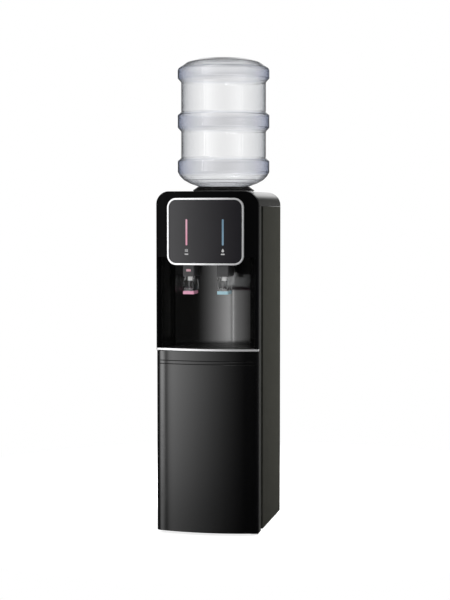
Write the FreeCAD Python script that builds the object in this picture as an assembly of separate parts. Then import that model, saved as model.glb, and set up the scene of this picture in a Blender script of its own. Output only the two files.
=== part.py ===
"""A free-standing hot and cold water cooler with a large bottle upside down in its top.

Every separate piece is one node. X runs across the front, Y from the front to the back and Z up from the floor.
The pieces are drawn with y = 0 at the cabinet's front corners, and moved at the end so that the middle of the
whole object's box stands over the origin. Lengths are in millimetres.
"""
import FreeCAD, Part
import math
import os

Vector = FreeCAD.Vector
X_AXIS = Vector(1, 0, 0)
Y_AXIS = Vector(0, 1, 0)
Z_AXIS = Vector(0, 0, 1)
TINY = 1e-4

# ---- Driving dimensions: cabinet ----
BODY_W = 300.0              # across the sides
BODY_D = 376.0              # front corners to the back sheet
BODY_H = 985.0              # top face above the feet
FRONT_BOW = 22.0            # middle of the front ahead of its corners
FOOT_H = 8.0
FOOT_R = 15.0
FOOT_STEM_R = 4.0
FOOT_STEM_H = 4.0           # stem above the base pan
TOP_CORNER_R = 40.0         # rounding of the top corners, seen from the front
FRONT_EDGE_R = 5.0          # rounding all round the front
WALL = 2.5                  # moulded wall
SHEET = 1.0                 # steel sheet
SEAM = 0.4                  # fine gap between fixed shells
FIT = 0.2                   # room round a piece that is dropped or slid into its place
HOLE_FIT = 0.4              # room round a pipe or spigot in its hole
TRIM_D = 30.0               # corner trims, front to back
CHANNEL_W = 30.0            # upright groove between a corner trim and its side sheet
CHANNEL_DEEP = 6.5
SCREW_IN = 6.5              # back screws, in from the cabinet's sides
SCREW_HOLE_R = 2.15
SCREW_END = 34.0            # lowest screw above the cabinet's bottom
SCREW_ROWS = 5
SCREW_R = 2.0
SCREW_L = 7.0
SCREW_HEAD_R = 4.0
SCREW_HEAD_H = 2.2
SCREW_SLOT_W = 1.0
SCREW_SLOT_DEEP = 1.0
FOOT_IN = 28.0              # feet in from the cabinet's sides
FOOT_FRONT = 62.0
FOOT_BACK = 48.0            # from the back sheet
PAN_LIP = 14.0
TOP_COVER_H = 43.0          # top cover's skirt height
FACE_T = 3.0                # moulded front skin

# ---- Driving dimensions: door and storage cupboard ----
DOOR_H = 526.2
DOOR_GAP = 1.2              # above the door, and 0.4 of it below
DOOR_BACK = 14.0            # door's back plane
DOOR_SIDE_FLAT = 1.2        # flat part of its sides, between their large rounding and the back plane
DOOR_SWING_GAP = 3.5        # room behind the door for its swing
DOOR_STILE = 12.0           # solid edge that holds the hinge pins
DOOR_LINER_T = 3.5
DOOR_RIM_R = 1.2            # rounding of the front's top and bottom edges
GROOVE_Z = 487.0            # lower groove above the door's bottom
GROOVE_H = 2.4              # mouth of a groove, which is cut as a V
GROOVE_DEEP = 1.2
GROOVE_STEP = 9.6
HINGE_IN = 5.0              # hinge axis from the door's side and its back
PIN_R = 2.5
PIN_IN = 15.0               # how far a hinge pin reaches into the door
PIN_UP = 12.0               # upper pin above the silver line
PIN_PRESS = 0.03            # room round a pin where it is pressed in
BRACKET_T = 2.0
BRACKET_W = 21.0
BRACKET_BACK = 24.0         # bracket behind the frame's front plane
CATCH_IN = 24.0             # catch from the door's free side
CATCH_DOWN = 40.0           # catch from the door's top
CATCH_W = 22.0
CATCH_T = 1.2
DISH_IN = 30.0              # door liner's pressed field, in from its edges
DISH_DEEP = 1.5
RUN = 0.05                  # running clearance round a shaft
STORE_D = 188.0             # cupboard depth
STORE_H = 503.0
STORE_SIDE_GAP = 10.0       # cupboard liner in from the cabinet's side
STORE_T = 1.8

# ---- Driving dimensions: dispensing niche and drip tray ----
WAIST_H = 5.6               # silver line
WAIST_PROUD = 0.6
WAIST_D = 8.0
NICHE_H = 263.0             # tray top to ceiling
NICHE_PILLAR = 6.0          # beside the mouth, at the front corners
NICHE_FRONT_W = BODY_W - 2 * NICHE_PILLAR
NICHE_BACK_W = 224.0        # between the creases
NICHE_SIDE_D = 80.0         # depth of the creases
NICHE_D = 112.0             # depth in the middle of the curved back
LINER_T = 1.6
TRAY_T = 1.6
TRAY_GAP = 1.2
SUMP_W = 168.0
SUMP_D = 52.0
SUMP_Y = 50.0
SUMP_H = 18.0
GRILLE_T = 2.0
GRILLE_STEP = 7.0
GRILLE_SLOT = 3.2

# ---- Driving dimensions: control panel ----
PANEL_W = 224.0
PANEL_H = 191.5
PANEL_TOP_GAP = 19.5        # below the cabinet's top
PANEL_R = 27.0
PANEL_PROUD = 12.0
RIM_W = 5.2
RIM_T = 2.5
RIM_EDGE_R = 0.8
SCREEN_DOWN = 0.6           # screen's face behind the rim's
BAR_X = 53.0
BAR_W = 5.2
BAR_H = 74.5
BAR_TOP_GAP = 60.5
MARK_T = 0.2
BOARD_T = 1.6
BOARD_W = 150.0
BOARD_UP = 55.0             # above the panel's bottom
BOARD_DOWN = 15.0           # below the panel's top
BOARD_BACK = 3.0            # behind the fascia's skin, at the board's ends
POST_IN = 8.0
POST_R = 3.0

# ---- Driving dimensions: taps ----
TAP_X = 50.0
TAP_W = 34.0
TAP_H = 55.0
TAP_FRONT = -17.0
TAP_D = 81.0
TAP_WALL = 2.5
NOZZLE_Y = 8.0
NOZZLE_R = 8.0
NOZZLE_BORE = 5.5
NOZZLE_DROP = 12.5          # nozzle below the housing
SEAL_UP = 5.5               # plunger's seal above the nozzle's mouth
SEAL_T = 3.0
SPIGOT_Y = 40.0
SPIGOT_R = 5.0
SPIGOT_H = 18.0
LEVER_Y = -6.0              # lever pivot
LEVER_UP = 8.0              # pivot above the housing's bottom edge
LEVER_DROP = 51.0           # lever below the housing
CRADLE_HALF = 14.5          # half its width, outside
CRADLE_TOP = 4.0            # top of its sides below the housing
LEVER_FRONT = -19.0
LEVER_BACK = 44.0
LEVER_T = 2.5
LEVER_PIN_R = 1.5
NOSE_R = 3.0
CROSS_PIN_R = 1.4
BAR_BAND_H = 9.0
BAR_BAND_T = 1.5
PLUNGER_R = 2.2
PLUNGER_LIFT = 3.1
LOCK_W = 13.0
LOCK_H = 6.4
LOCK_UP = 17.8              # above the housing's bottom
LOCK_PROUD = 1.6

# ---- Driving dimensions: bottle and its seat ----
BOTTLE_Y = 238.0            # bottle axis behind the front corners
SEAT_H = 15.0               # bottle's shoulder line above the top face
SEAT_R = 92.0
SEAT_HOLE_R = 66.0          # hole in the top cover below the seat
GASKET_H = 4.0
BOTTLE_R = 137.5            # at the ridges
BOTTLE_WAIST = 127.0        # between the ridges
BOTTLE_H = 383.0            # above the shoulder line
BOTTLE_T = 2.0
DOME_FLAT_IN = 62.0         # closed end's nearly flat middle, in from the ridges
DOME_FLAT_DROP = 1.0
DOME_FLAT_BEND = 40.0
DOME_EDGE_IN = 27.5
DOME_EDGE_DROP = 10.5
DOME_EDGE_BEND = 30.0
NECK_R = 27.5
NECK_H = 62.0               # below the shoulder line
RIDGES = ((45.0, 78.0), (178.0, 215.0), (325.0, 353.0))
CAP_R = 30.5
CAP_H = 34.0
CAP_T = 3.0
PROBE_R = 7.5

BOTTLE_FOOT = (             # shoulder below the lowest ridge: radius, height above the shoulder line, rounding
    (131.0, 33.0, 5.0), (119.0, 21.0, 4.0), (101.0, 11.0, 20.0), (72.0, 0.0, 6.0), (40.0, -8.0, 4.0),
    (NECK_R, -13.0, 3.0),
)

# ---- Driving dimensions: tanks and refrigeration ----
TANK_R = 62.0
TANK_H = 130.0
TANK_T = 1.0
FOAM_R = 92.0
FOAM_T = 16.0
COIL_T = 6.6
SHELF_T = 1.5
SHELF_LIP = 16.0
HOT_X = -50.0
HOT_R = 45.0
HOT_H = 120.0
HOT_FOAM_R = 62.0
HOT_END_FOAM = 13.0
BAND_T = 4.0
BAND_UP = 20.0
BAND_H = 34.0
BAND_SPLIT = 8.0
STUB_R = 4.0
STUB_OUT = 12.0             # a tank's stub outside its foam
COLD_STUB_UP = 11.0
HOT_STUB_DOWN = 18.0
HOSE_R = 6.5
HOSE_BORE = 4.1
HOSE_BEND = 14.0
HOSE_UP = 40.0              # hose's first rise above its spigot
HOT_HOSE_OUT = 33.0         # in front of the hot tank's foam
COLD_HOSE_OUT = 24.0        # in front of the cold tank's stub
DRAIN_IN = 35.0             # from the cabinet's left side
DRAIN_LEG = 30.0            # drain hose's first drop
DRAIN_Z = 100.0
DRAIN_OUT = 12.0
COMP_R = 62.0
COMP_H = 157.0
COMP_SEAM_UP = 70.0
COMP_PLATE_W = 176.0
COMP_PLATE_D = 116.0
COMP_PLATE_Z = 30.0
COMP_PLATE_T = 3.0
GROMMET_IN = 10.5
SUCTION_UP = 100.0          # suction stub above the compressor's plate
SUCTION_R = 4.0
SUCTION_OUT = 12.0          # suction pipe outside the cold tank's foam
SUCTION_DOWN = 74.0         # below the cold tank's top
CAPILLARY_DOWN = 41.0
CAPILLARY_R = 1.5
DRIER_R = 8.0
DRIER_H = 62.0
RISER_IN = 25.0             # capillary's riser from the cabinet's right side
LINE_IN = 30.0              # upright pipes, in from the back sheet
PIPE_BEND = 10.0
LINE_END = 16.0             # where the condenser's ends stop, in from the back sheet
COIL_TUBE_R = 2.5
COIL_OUT = 21.0             # condenser tube's centre behind the back sheet
COIL_SIDE_IN = 32.0         # condenser in from the cabinet's sides
COIL_TOP_GAP = 23.0         # below the tank shelf
COIL_Z = 215.0
COIL_LEVELS = 12
COIL_IN_X = 45.0
WIRE_R = 0.8
VENTS = 6                   # slots in the back sheet
VENT_HALF = 55.0
VENT_Z = 60.0
VENT_STEP = 16.0
VENT_H = 6.0
WIRES = 21
WIRE_END = 13.0             # outer wires in from the coil's sides
WIRE_OVER = 10.0            # wires above and below the coil
SWITCH_DOWN = 91.0          # below the cabinet's top
SWITCH_IN = 52.0            # first switch from the cabinet's left side
SWITCH_STEP = 26.0
SWITCH_W = 18.0
SWITCH_H = 26.0
ROCKER_R = 10.0
ROCKER_TILT = 8.0
GLAND_IN = 45.0             # from the cabinet's right side
GLAND_Z = 60.0
GLAND_BORE = 4.2

# ---- Derived places ----
HALF_W = BODY_W / 2
TOP_Z = FOOT_H + BODY_H
BOW_R = (HALF_W ** 2 + FRONT_BOW ** 2) / (2 * FRONT_BOW)
BOW_Y = BOW_R - FRONT_BOW
FRAME_Y = DOOR_BACK + DOOR_SWING_GAP        # front plane of the cabinet behind the door
TRIM_BACK = FRAME_Y + TRIM_D
CHANNEL_BACK = TRIM_BACK + CHANNEL_W
SIDE_Z1 = TOP_Z - TOP_COVER_H - SEAM        # top edge of the side sheets
DOOR_Z0 = FOOT_H + SEAM
DOOR_Z1 = FOOT_H + DOOR_H
WAIST_Z0 = DOOR_Z1 + DOOR_GAP
WAIST_Z1 = WAIST_Z0 + WAIST_H
NICHE_Z1 = WAIST_Z1 + NICHE_H
FLOOR_Z0 = WAIST_Z0 + 0.2
FLOOR_Z1 = FLOOR_Z0 + LINER_T
FASCIA_BACK = FRAME_Y - SEAM
DOOR_ROUND_Y = DOOR_BACK - DOOR_SIDE_FLAT   # where the rounding of the door's sides ends
DOOR_EDGE_R = DOOR_ROUND_Y * (2 * BOW_Y - DOOR_ROUND_Y) / (2 * (BOW_R - HALF_W))
HINGE_X = HALF_W - HINGE_IN
HINGE_Y = DOOR_BACK - HINGE_IN
PAN_Z1 = FOOT_H + SHEET
STORE_Z0 = PAN_Z1 + FOOT_STEM_H + 0.3
STORE_HALF = HALF_W - STORE_SIDE_GAP
STORE_BACK = FRAME_Y + STORE_D
PANEL_Z1 = TOP_Z - PANEL_TOP_GAP
PANEL_Z0 = PANEL_Z1 - PANEL_H
TAP_Z0 = NICHE_Z1 - TAP_H
TAP_BACK = TAP_FRONT + TAP_D
TAP_HALF = TAP_W / 2
LEVER_Z = TAP_Z0 + LEVER_UP
LEVER_Z0 = TAP_Z0 - LEVER_DROP
LUG_OUT = min(TAP_HALF - TAP_WALL, CRADLE_HALF) - 1.0     # outer face of a lever's lug, inside the housing
LUG_IN = LUG_OUT - LEVER_T
CROSS_PIN_Z = LEVER_Z + NOSE_R + 0.3 + CROSS_PIN_R
SHOULDER_Z = TOP_Z + SEAT_H
SEAT_FLOOR = SHOULDER_Z - NECK_H - 9.0      # underside of the seat's cup
SEAT_WALL = 3.0
PROBE_FLANGE_T = 3.0
TANK_Z1 = SEAT_FLOOR - PROBE_FLANGE_T
TANK_Z0 = TANK_Z1 - TANK_H
SHELF_Z = TANK_Z0 - FOAM_T
HOT_Y = BOTTLE_Y - 3.0
HOT_FOAM_Z1 = SHELF_Z - SHELF_T - 0.2
HOT_Z1 = HOT_FOAM_Z1 - HOT_END_FOAM
HOT_Z0 = HOT_Z1 - HOT_H
COMP_Y = (STORE_BACK + BODY_D - SHEET) / 2  # midway between the cupboard and the back sheet
COIL_Y = BODY_D + COIL_OUT
COIL_HALF = HALF_W - COIL_SIDE_IN
COIL_TOP_Z = SHELF_Z - COIL_TOP_GAP
COIL_STEP = (COIL_TOP_Z - COIL_Z) / (COIL_LEVELS - 1)
WIRE_STEP = 2 * (COIL_HALF - WIRE_END) / (WIRES - 1)
LINE_Y = BODY_D - LINE_IN
LINE_END_Y = BODY_D - LINE_END
RISER_X = HALF_W - RISER_IN
DRAIN_X = DRAIN_IN - HALF_W
GLAND_X = HALF_W - GLAND_IN
SWITCH_Z = TOP_Z - SWITCH_DOWN
SWITCH_XS = (SWITCH_IN - HALF_W, SWITCH_IN + SWITCH_STEP - HALF_W)
BACK_MOST = COIL_Y + COIL_TUBE_R + 2 * WIRE_R
FRONT_MOST = -FRONT_BOW - PANEL_PROUD
MIDDLE_Y = (FRONT_MOST + BACK_MOST) / 2


# ---- Drawing helpers ----
def box(x0, x1, y0, y1, z0, z1):
    return Part.makeBox(x1 - x0, y1 - y0, z1 - z0, Vector(x0, y0, z0))


def rod(x, y, z, radius, length, along=Z_AXIS):
    return Part.makeCylinder(radius, length, Vector(x, y, z), along)


def tube(x, y, z, radius, bore, length, along=Z_AXIS):
    return rod(x, y, z, radius, length, along).cut(rod(x, y, z, bore, length, along))


def mirrored(shape):
    return shape.mirror(Vector(0, 0, 0), X_AXIS)


def fused(first, *others):
    return first.fuse(list(others)).removeSplitter()


def rounded_edges(corners, closed):
    """Lines and arcs through (point, radius) corners, each corner rounded by its own radius."""
    count = len(corners)
    turns = []
    for i, (point, radius) in enumerate(corners):
        is_end = not closed and i in (0, count - 1)
        if radius <= 0 or is_end:
            turns.append((point, None, point))
            continue
        back = (corners[i - 1][0] - point).normalize()
        ahead = (corners[(i + 1) % count][0] - point).normalize()
        half = back.getAngle(ahead) / 2
        reach = radius / math.tan(half)
        inward = (back + ahead).normalize()
        centre = point + inward * (radius / math.sin(half))
        turns.append((point + back * reach, centre - inward * radius, point + ahead * reach))
    edges = []
    for i, (start, middle, end) in enumerate(turns):
        if middle:
            edges.append(Part.Arc(start, middle, end).toShape())
        if i < count - 1 or closed:
            following = turns[(i + 1) % count][0]
            if end.distanceToPoint(following) > TINY:
                edges.append(Part.LineSegment(end, following).toShape())
    return edges


def prism(points, along, low, high):
    """A closed outline of (a, b) or (a, b, radius) points, drawn across an axis and extruded along it."""
    places = {
        "x": lambda a, b: Vector(low, a, b),
        "y": lambda a, b: Vector(a, low, b),
        "z": lambda a, b: Vector(a, b, low),
    }
    axes = {"x": X_AXIS, "y": Y_AXIS, "z": Z_AXIS}
    corners = []
    for point in points:
        radius = point[2] if len(point) > 2 else 0
        corners.append((places[along](point[0], point[1]), radius))
    wire = Part.Wire(rounded_edges(corners, True))
    return Part.Face(wire).extrude(axes[along] * (high - low))


def rounded_rect(half_w, z0, z1, radius, y0, y1, x=0.0):
    """A block with rounded corners when seen from the front."""
    points = [
        (x - half_w, z0, radius), (x + half_w, z0, radius), (x + half_w, z1, radius), (x - half_w, z1, radius)
    ]
    return prism(points, "y", y0, y1)


def turned(points, x, y):
    """A closed outline of (r, z) or (r, z, radius) points, turned about a vertical axis."""
    corners = [(Vector(x + p[0], y, p[1]), p[2] if len(p) > 2 else 0) for p in points]
    face = Part.Face(Part.Wire(rounded_edges(corners, True)))
    return face.revolve(Vector(x, y, 0), Z_AXIS, 360)


def bow_cylinder(inset, z0, z1):
    """The upright cylinder whose near side is the bowed front, set in by inset."""
    return rod(0, BOW_Y, z0, BOW_R - inset, z1 - z0)


def bow_y(x, inset=0.0):
    return BOW_Y - math.sqrt((BOW_R - inset) ** 2 - x ** 2)


def bow_shell(outer, inner, z0, z1):
    """The skin between two insets of the bowed front, in front of the frame plane."""
    skin = bow_cylinder(outer, z0, z1).cut(bow_cylinder(inner, z0, z1))
    return skin.common(box(-HALF_W, HALF_W, 2 * FRONT_MOST, FRAME_Y, z0, z1))


def bow_block(half_w, y_back, inset, corner_r, z0, z1):
    """A block with the bowed front, whose front corners are rounded in plan."""
    bow_radius = BOW_R - inset
    corner_x = half_w - corner_r
    corner_y = BOW_Y - math.sqrt((bow_radius - corner_r) ** 2 - corner_x ** 2)
    centre = Vector(corner_x, corner_y, z0)
    bow_centre = Vector(0, BOW_Y, z0)
    outward = (centre - bow_centre).normalize()
    on_bow = bow_centre + outward * bow_radius
    on_side = Vector(half_w, corner_y, z0)
    between = centre + (outward + X_AXIS).normalize() * corner_r
    flip = lambda point: Vector(-point.x, point.y, point.z)
    edges = [
        Part.LineSegment(Vector(-half_w, y_back, z0), Vector(half_w, y_back, z0)).toShape(),
        Part.LineSegment(Vector(half_w, y_back, z0), on_side).toShape(),
        Part.Arc(on_side, between, on_bow).toShape(),
        Part.Arc(on_bow, Vector(0, BOW_Y - bow_radius, z0), flip(on_bow)).toShape(),
        Part.Arc(flip(on_bow), flip(between), flip(on_side)).toShape(),
        Part.LineSegment(flip(on_side), Vector(-half_w, y_back, z0)).toShape(),
    ]
    return Part.Face(Part.Wire(edges)).extrude(Z_AXIS * (z1 - z0))


def niche_block(offset, y_front, z0, z1):
    """The niche's plan, grown outwards by offset: slanted sides and a curved back, open to the front."""
    half_front = NICHE_FRONT_W / 2
    half_back = NICHE_BACK_W / 2
    rise = NICHE_D - NICHE_SIDE_D
    arc_r = (half_back ** 2 + rise ** 2) / (2 * rise) + offset
    arc_y = NICHE_D + offset - arc_r
    along = Vector(half_back - half_front, NICHE_SIDE_D, 0).normalize()
    outward = Vector(along.y, -along.x, 0)
    start = Vector(half_front, 0, 0) + outward * offset
    to_start = start - Vector(0, arc_y, 0)
    half_b = to_start.dot(along)
    step = -half_b + math.sqrt(half_b ** 2 - to_start.dot(to_start) + arc_r ** 2)
    crease = start + along * step
    mouth = start + along * ((y_front - start.y) / along.y)
    corner = Vector(crease.x, crease.y, z0)
    front = Vector(mouth.x, mouth.y, z0)
    flip = lambda point: Vector(-point.x, point.y, point.z)
    edges = [
        Part.LineSegment(flip(front), front).toShape(),
        Part.LineSegment(front, corner).toShape(),
        Part.Arc(corner, Vector(0, NICHE_D + offset, z0), flip(corner)).toShape(),
        Part.LineSegment(flip(corner), flip(front)).toShape(),
    ]
    return Part.Face(Part.Wire(edges)).extrude(Z_AXIS * (z1 - z0))


def swept(points, radius, bend, bore=0.0):
    """A round tube along straight runs joined by tangent arcs."""
    corners = [(Vector(*point), bend) for point in points]
    spine = Part.Wire(rounded_edges(corners, False))
    heading = corners[1][0] - corners[0][0]
    section = Part.Wire(Part.Circle(corners[0][0], heading, radius).toShape())
    solid = spine.makePipeShell([section], True, False)
    if bore:
        hollow = Part.Wire(Part.Circle(corners[0][0], heading, bore).toShape())
        solid = solid.cut(spine.makePipeShell([hollow], True, False))
    return solid


def offset_path(points, distance):
    """An open outline of (r, z, radius) points, moved to the left of its direction by distance."""
    moved = []
    last = len(points) - 1
    for i, (r, z, radius) in enumerate(points):
        normals = []
        for a, b in ((i - 1, i), (i, i + 1)):
            if a < 0 or b > last:
                continue
            dr = points[b][0] - points[a][0]
            dz = points[b][1] - points[a][1]
            length = math.hypot(dr, dz)
            normals.append((-dz / length, dr / length))
        (n0, m0), (n1, m1) = normals[0], normals[-1]
        scale = distance / (1 + n0 * n1 + m0 * m1)
        turn = n0 * m1 - m0 * n1
        inside = radius - distance if turn > 0 else radius + distance
        moved.append((r + (n0 + n1) * scale, z + (m0 + m1) * scale, max(inside, 0) if radius else 0))
    return moved


# ---- Cabinet ----
def make_base_pan():
    trim_half = HALF_W - WALL
    side_half = HALF_W - SHEET
    front = FRAME_Y + 2.5
    back = BODY_D - 2 * SHEET - FIT
    channel_half = HALF_W - CHANNEL_DEEP - SHEET
    trim_end = TRIM_BACK - WALL - SEAM
    side_start = CHANNEL_BACK + SHEET

    def plan(inset, z0, z1):
        half = [
            (trim_half - inset, front + inset),
            (trim_half - inset, trim_end - inset),
            (channel_half - inset, trim_end - inset),
            (channel_half - inset, side_start + inset),
            (side_half - inset, side_start + inset),
            (side_half - inset, back - inset),
        ]
        return prism(half + [(-x, y) for x, y in reversed(half)], "z", z0, z1)

    pan = plan(0, FOOT_H, PAN_Z1 + PAN_LIP).cut(plan(SHEET, PAN_Z1, PAN_Z1 + 2 * PAN_LIP))
    notch = STORE_HALF + 0.5
    pan = pan.cut(box(-notch, notch, front - 1, front + SHEET + 1, PAN_Z1, PAN_Z1 + 2 * PAN_LIP))
    for x, y in foot_places():
        pan = pan.cut(rod(x, y, 0, FOOT_STEM_R + FIT, 3 * FOOT_H))
    return pan


def foot_places():
    return [(x, y) for x in (FOOT_IN - HALF_W, HALF_W - FOOT_IN) for y in (FOOT_FRONT, BODY_D - FOOT_BACK)]


def make_rubber_feet():
    feet = []
    for x, y in foot_places():
        pad = turned([(0, 0), (FOOT_R - 1, 0, 1.5), (FOOT_R, FOOT_H), (0, FOOT_H)], x, y)
        feet.append(fused(pad, rod(x, y, FOOT_H, FOOT_STEM_R, PAN_Z1 + FOOT_STEM_H - FOOT_H)))
    return feet


def screw_places():
    lowest = FOOT_H + SCREW_END
    step = (SIDE_Z1 - SCREW_END - lowest) / (SCREW_ROWS - 1)
    heights = [lowest + i * step for i in range(SCREW_ROWS)]
    return [(x, z) for x in (SCREW_IN - HALF_W, HALF_W - SCREW_IN) for z in heights]


def make_right_side_panel():
    """A folded sheet: an upright groove along its front, the flat side, and a flange for the back screws."""
    inner = HALF_W - SHEET
    groove_inner = inner - CHANNEL_DEEP
    sheet = box(inner, HALF_W, CHANNEL_BACK, BODY_D, FOOT_H, SIDE_Z1)
    groove_wall = box(groove_inner, HALF_W, CHANNEL_BACK, CHANNEL_BACK + SHEET, FOOT_H, SIDE_Z1)
    groove_floor = box(groove_inner, groove_inner + SHEET, TRIM_BACK + SEAM, CHANNEL_BACK, FOOT_H, SIDE_Z1)
    flange = box(HALF_W - 2 * SCREW_IN + SHEET, inner, BODY_D - 2 * SHEET, BODY_D - SHEET, FOOT_H, SIDE_Z1)
    panel = fused(sheet, groove_wall, groove_floor, flange)
    for x, z in screw_places():
        panel = panel.cut(rod(x, BODY_D - 4 * SHEET, z, SCREW_HOLE_R, 5 * SHEET, Y_AXIS))
    return panel


def make_corner_trims():
    face = box(HALF_W - WALL, HALF_W, FRAME_Y, TRIM_BACK, FOOT_H, SIDE_Z1)
    inward = box(HALF_W - CHANNEL_DEEP, HALF_W, TRIM_BACK - WALL, TRIM_BACK, FOOT_H, SIDE_Z1)
    trim = fused(face, inward)
    trim = trim.makeFillet(1.0, [e for e in trim.Edges if is_upright_at(e, HALF_W, FRAME_Y)])
    return [mirrored(trim), trim]


def is_upright_at(edge, x, y):
    middle = edge.CenterOfMass
    is_upright = abs(edge.Vertexes[0].Z - edge.Vertexes[-1].Z) > 1
    return is_upright and abs(middle.x - x) < 0.01 and abs(middle.y - y) < 0.01


def make_rear_panel():
    half = HALF_W - SHEET - 0.1
    panel = box(-half, half, BODY_D - SHEET, BODY_D, FOOT_H, SIDE_Z1)
    holes = []
    for x, z in screw_places():
        holes.append((x, z, SCREW_HOLE_R))
    holes.append((COIL_IN_X, COIL_Z, COIL_TUBE_R + 1.5))
    holes.append((-COIL_IN_X, COIL_TOP_Z, COIL_TUBE_R + 1.5))
    holes.append((DRAIN_X, DRAIN_Z, HOSE_R + 0.3))
    holes.append((GLAND_X, GLAND_Z, GLAND_BORE + 4.0))
    for x, z, radius in holes:
        panel = panel.cut(rod(x, BODY_D - 3 * SHEET, z, radius, 5 * SHEET, Y_AXIS))
    half_w = SWITCH_W / 2 + FIT
    half_h = SWITCH_H / 2 + FIT
    for x in SWITCH_XS:
        low = SWITCH_Z - half_h
        panel = panel.cut(box(x - half_w, x + half_w, BODY_D - 5, BODY_D + 5, low, low + 2 * half_h))
    for i in range(VENTS):
        z = VENT_Z + i * VENT_STEP
        panel = panel.cut(rounded_rect(VENT_HALF, z, z + VENT_H, 0.48 * VENT_H, BODY_D - 5, BODY_D + 5))
    return panel


def make_rear_screws():
    screws = []
    for x, z in screw_places():
        head = rod(x, BODY_D, z, SCREW_HEAD_R, SCREW_HEAD_H, Y_AXIS)
        shank = rod(x, BODY_D - SCREW_L, z, SCREW_R, SCREW_L, Y_AXIS)
        reach = SCREW_HEAD_R + 1
        half = SCREW_SLOT_W / 2
        slot_y = BODY_D + SCREW_HEAD_H - SCREW_SLOT_DEEP
        slot = box(x - reach, x + reach, slot_y, slot_y + 2 * SCREW_SLOT_DEEP, z - half, z + half)
        screws.append(fused(head, shank).cut(slot))
    return screws


def top_profile(inset, z0, y0, y1):
    """The cabinet's top seen from the front, with its large rounded corners."""
    half = HALF_W - inset
    radius = TOP_CORNER_R - inset
    points = [(-half, z0), (half, z0), (half, TOP_Z - inset, radius), (-half, TOP_Z - inset, radius)]
    return prism(points, "y", y0, y1)


def make_top_cover():
    skirt = TOP_Z - TOP_COVER_H
    cover = top_profile(0, skirt, FRAME_Y, BODY_D)
    hollow = top_profile(WALL, skirt - 5, FRAME_Y - 5, BODY_D - WALL)
    seat_hole = rod(0, BOTTLE_Y, skirt, SEAT_HOLE_R, TOP_COVER_H + 5)
    return cover.cut(hollow).cut(seat_hole)


def make_front_fascia():
    body = bow_block(HALF_W, FASCIA_BACK, 0, FRONT_EDGE_R, WAIST_Z1, TOP_Z)
    body = body.common(top_profile(0, WAIST_Z1, 2 * FRONT_MOST, FASCIA_BACK))
    pocket = bow_block(HALF_W - FACE_T, FASCIA_BACK + 5, FACE_T, 3.0, NICHE_Z1 + FACE_T, TOP_Z)
    pocket = pocket.common(top_profile(FACE_T, NICHE_Z1 + FACE_T, 2 * FRONT_MOST, FASCIA_BACK + 5))
    mouth = niche_block(0, 2 * FRONT_MOST, WAIST_Z1 - 1, NICHE_Z1)
    pin_hole = rod(HINGE_X, HINGE_Y, WAIST_Z1, PIN_R + PIN_PRESS, PIN_UP)
    fascia = body.cut(pocket).cut(mouth).cut(pin_hole)
    for x in (-TAP_X, TAP_X):
        fascia = fascia.cut(rod(x, SPIGOT_Y, NICHE_Z1 - 1, SPIGOT_R + HOLE_FIT, 10))
    return fascia


def make_waist_trim():
    trim = bow_block(HALF_W, FASCIA_BACK, -WAIST_PROUD, FRONT_EDGE_R, WAIST_Z0, WAIST_Z1)
    inside = niche_block(0, 2 * FRONT_MOST, WAIST_Z0 - 1, WAIST_Z1 + 1)
    inside = inside.common(bow_cylinder(WAIST_D, WAIST_Z0 - 1, WAIST_Z1 + 1))
    return trim.cut(inside).cut(rod(HINGE_X, HINGE_Y, WAIST_Z0, PIN_R + PIN_PRESS, WAIST_H))


def make_niche_liner():
    shell = niche_block(WALL, FRAME_Y, FLOOR_Z0, NICHE_Z1 + WALL)
    floor = niche_block(-FIT, 2 * FRONT_MOST, FLOOR_Z0, FLOOR_Z1)
    floor = floor.common(bow_cylinder(WAIST_D + FIT, FLOOR_Z0, FLOOR_Z1))
    skin = LINER_T + 1.0
    sump_z0 = WAIST_Z1 - SUMP_H - TRAY_T - skin
    well = box(-SUMP_W / 2 - skin, SUMP_W / 2 + skin, sump_y0() - skin, sump_y1() + skin, sump_z0, FLOOR_Z0)
    liner = fused(shell, floor, well)
    liner = liner.cut(niche_block(0, 2 * FRONT_MOST, FLOOR_Z1, NICHE_Z1))
    gap = 1.0
    half = SUMP_W / 2 + gap
    hollow = box(-half, half, sump_y0() - gap, sump_y1() + gap, sump_z0 + LINER_T, FLOOR_Z1 + 1)
    liner = liner.cut(hollow)
    for x in (-TAP_X, TAP_X):
        liner = liner.cut(rod(x, SPIGOT_Y, NICHE_Z1 - 1, SPIGOT_R + HOLE_FIT, 10))
    return liner


def sump_y0():
    return SUMP_Y - SUMP_D / 2


def sump_y1():
    return SUMP_Y + SUMP_D / 2


def tray_plan(gap, z0, z1):
    """The niche floor's outline, in from the niche walls and the silver line by gap."""
    block = niche_block(-gap, 2 * FRONT_MOST, z0, z1)
    return block.common(bow_cylinder(WAIST_D + gap, z0, z1))


def make_drip_tray():
    z0 = FLOOR_Z1 + FIT
    tray = tray_plan(TRAY_GAP, z0, WAIST_Z1)
    sump_z0 = WAIST_Z1 - SUMP_H - TRAY_T
    tray = fused(tray, box(-SUMP_W / 2, SUMP_W / 2, sump_y0(), sump_y1(), sump_z0, z0))
    tray = tray.cut(tray_plan(TRAY_GAP + TRAY_T, z0 + TRAY_T, WAIST_Z1 + 1))
    well = box(
        -SUMP_W / 2 + TRAY_T, SUMP_W / 2 - TRAY_T, sump_y0() + TRAY_T, sump_y1() - TRAY_T,
        sump_z0 + TRAY_T, WAIST_Z1 + 1,
    )
    return tray.cut(well)


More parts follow.
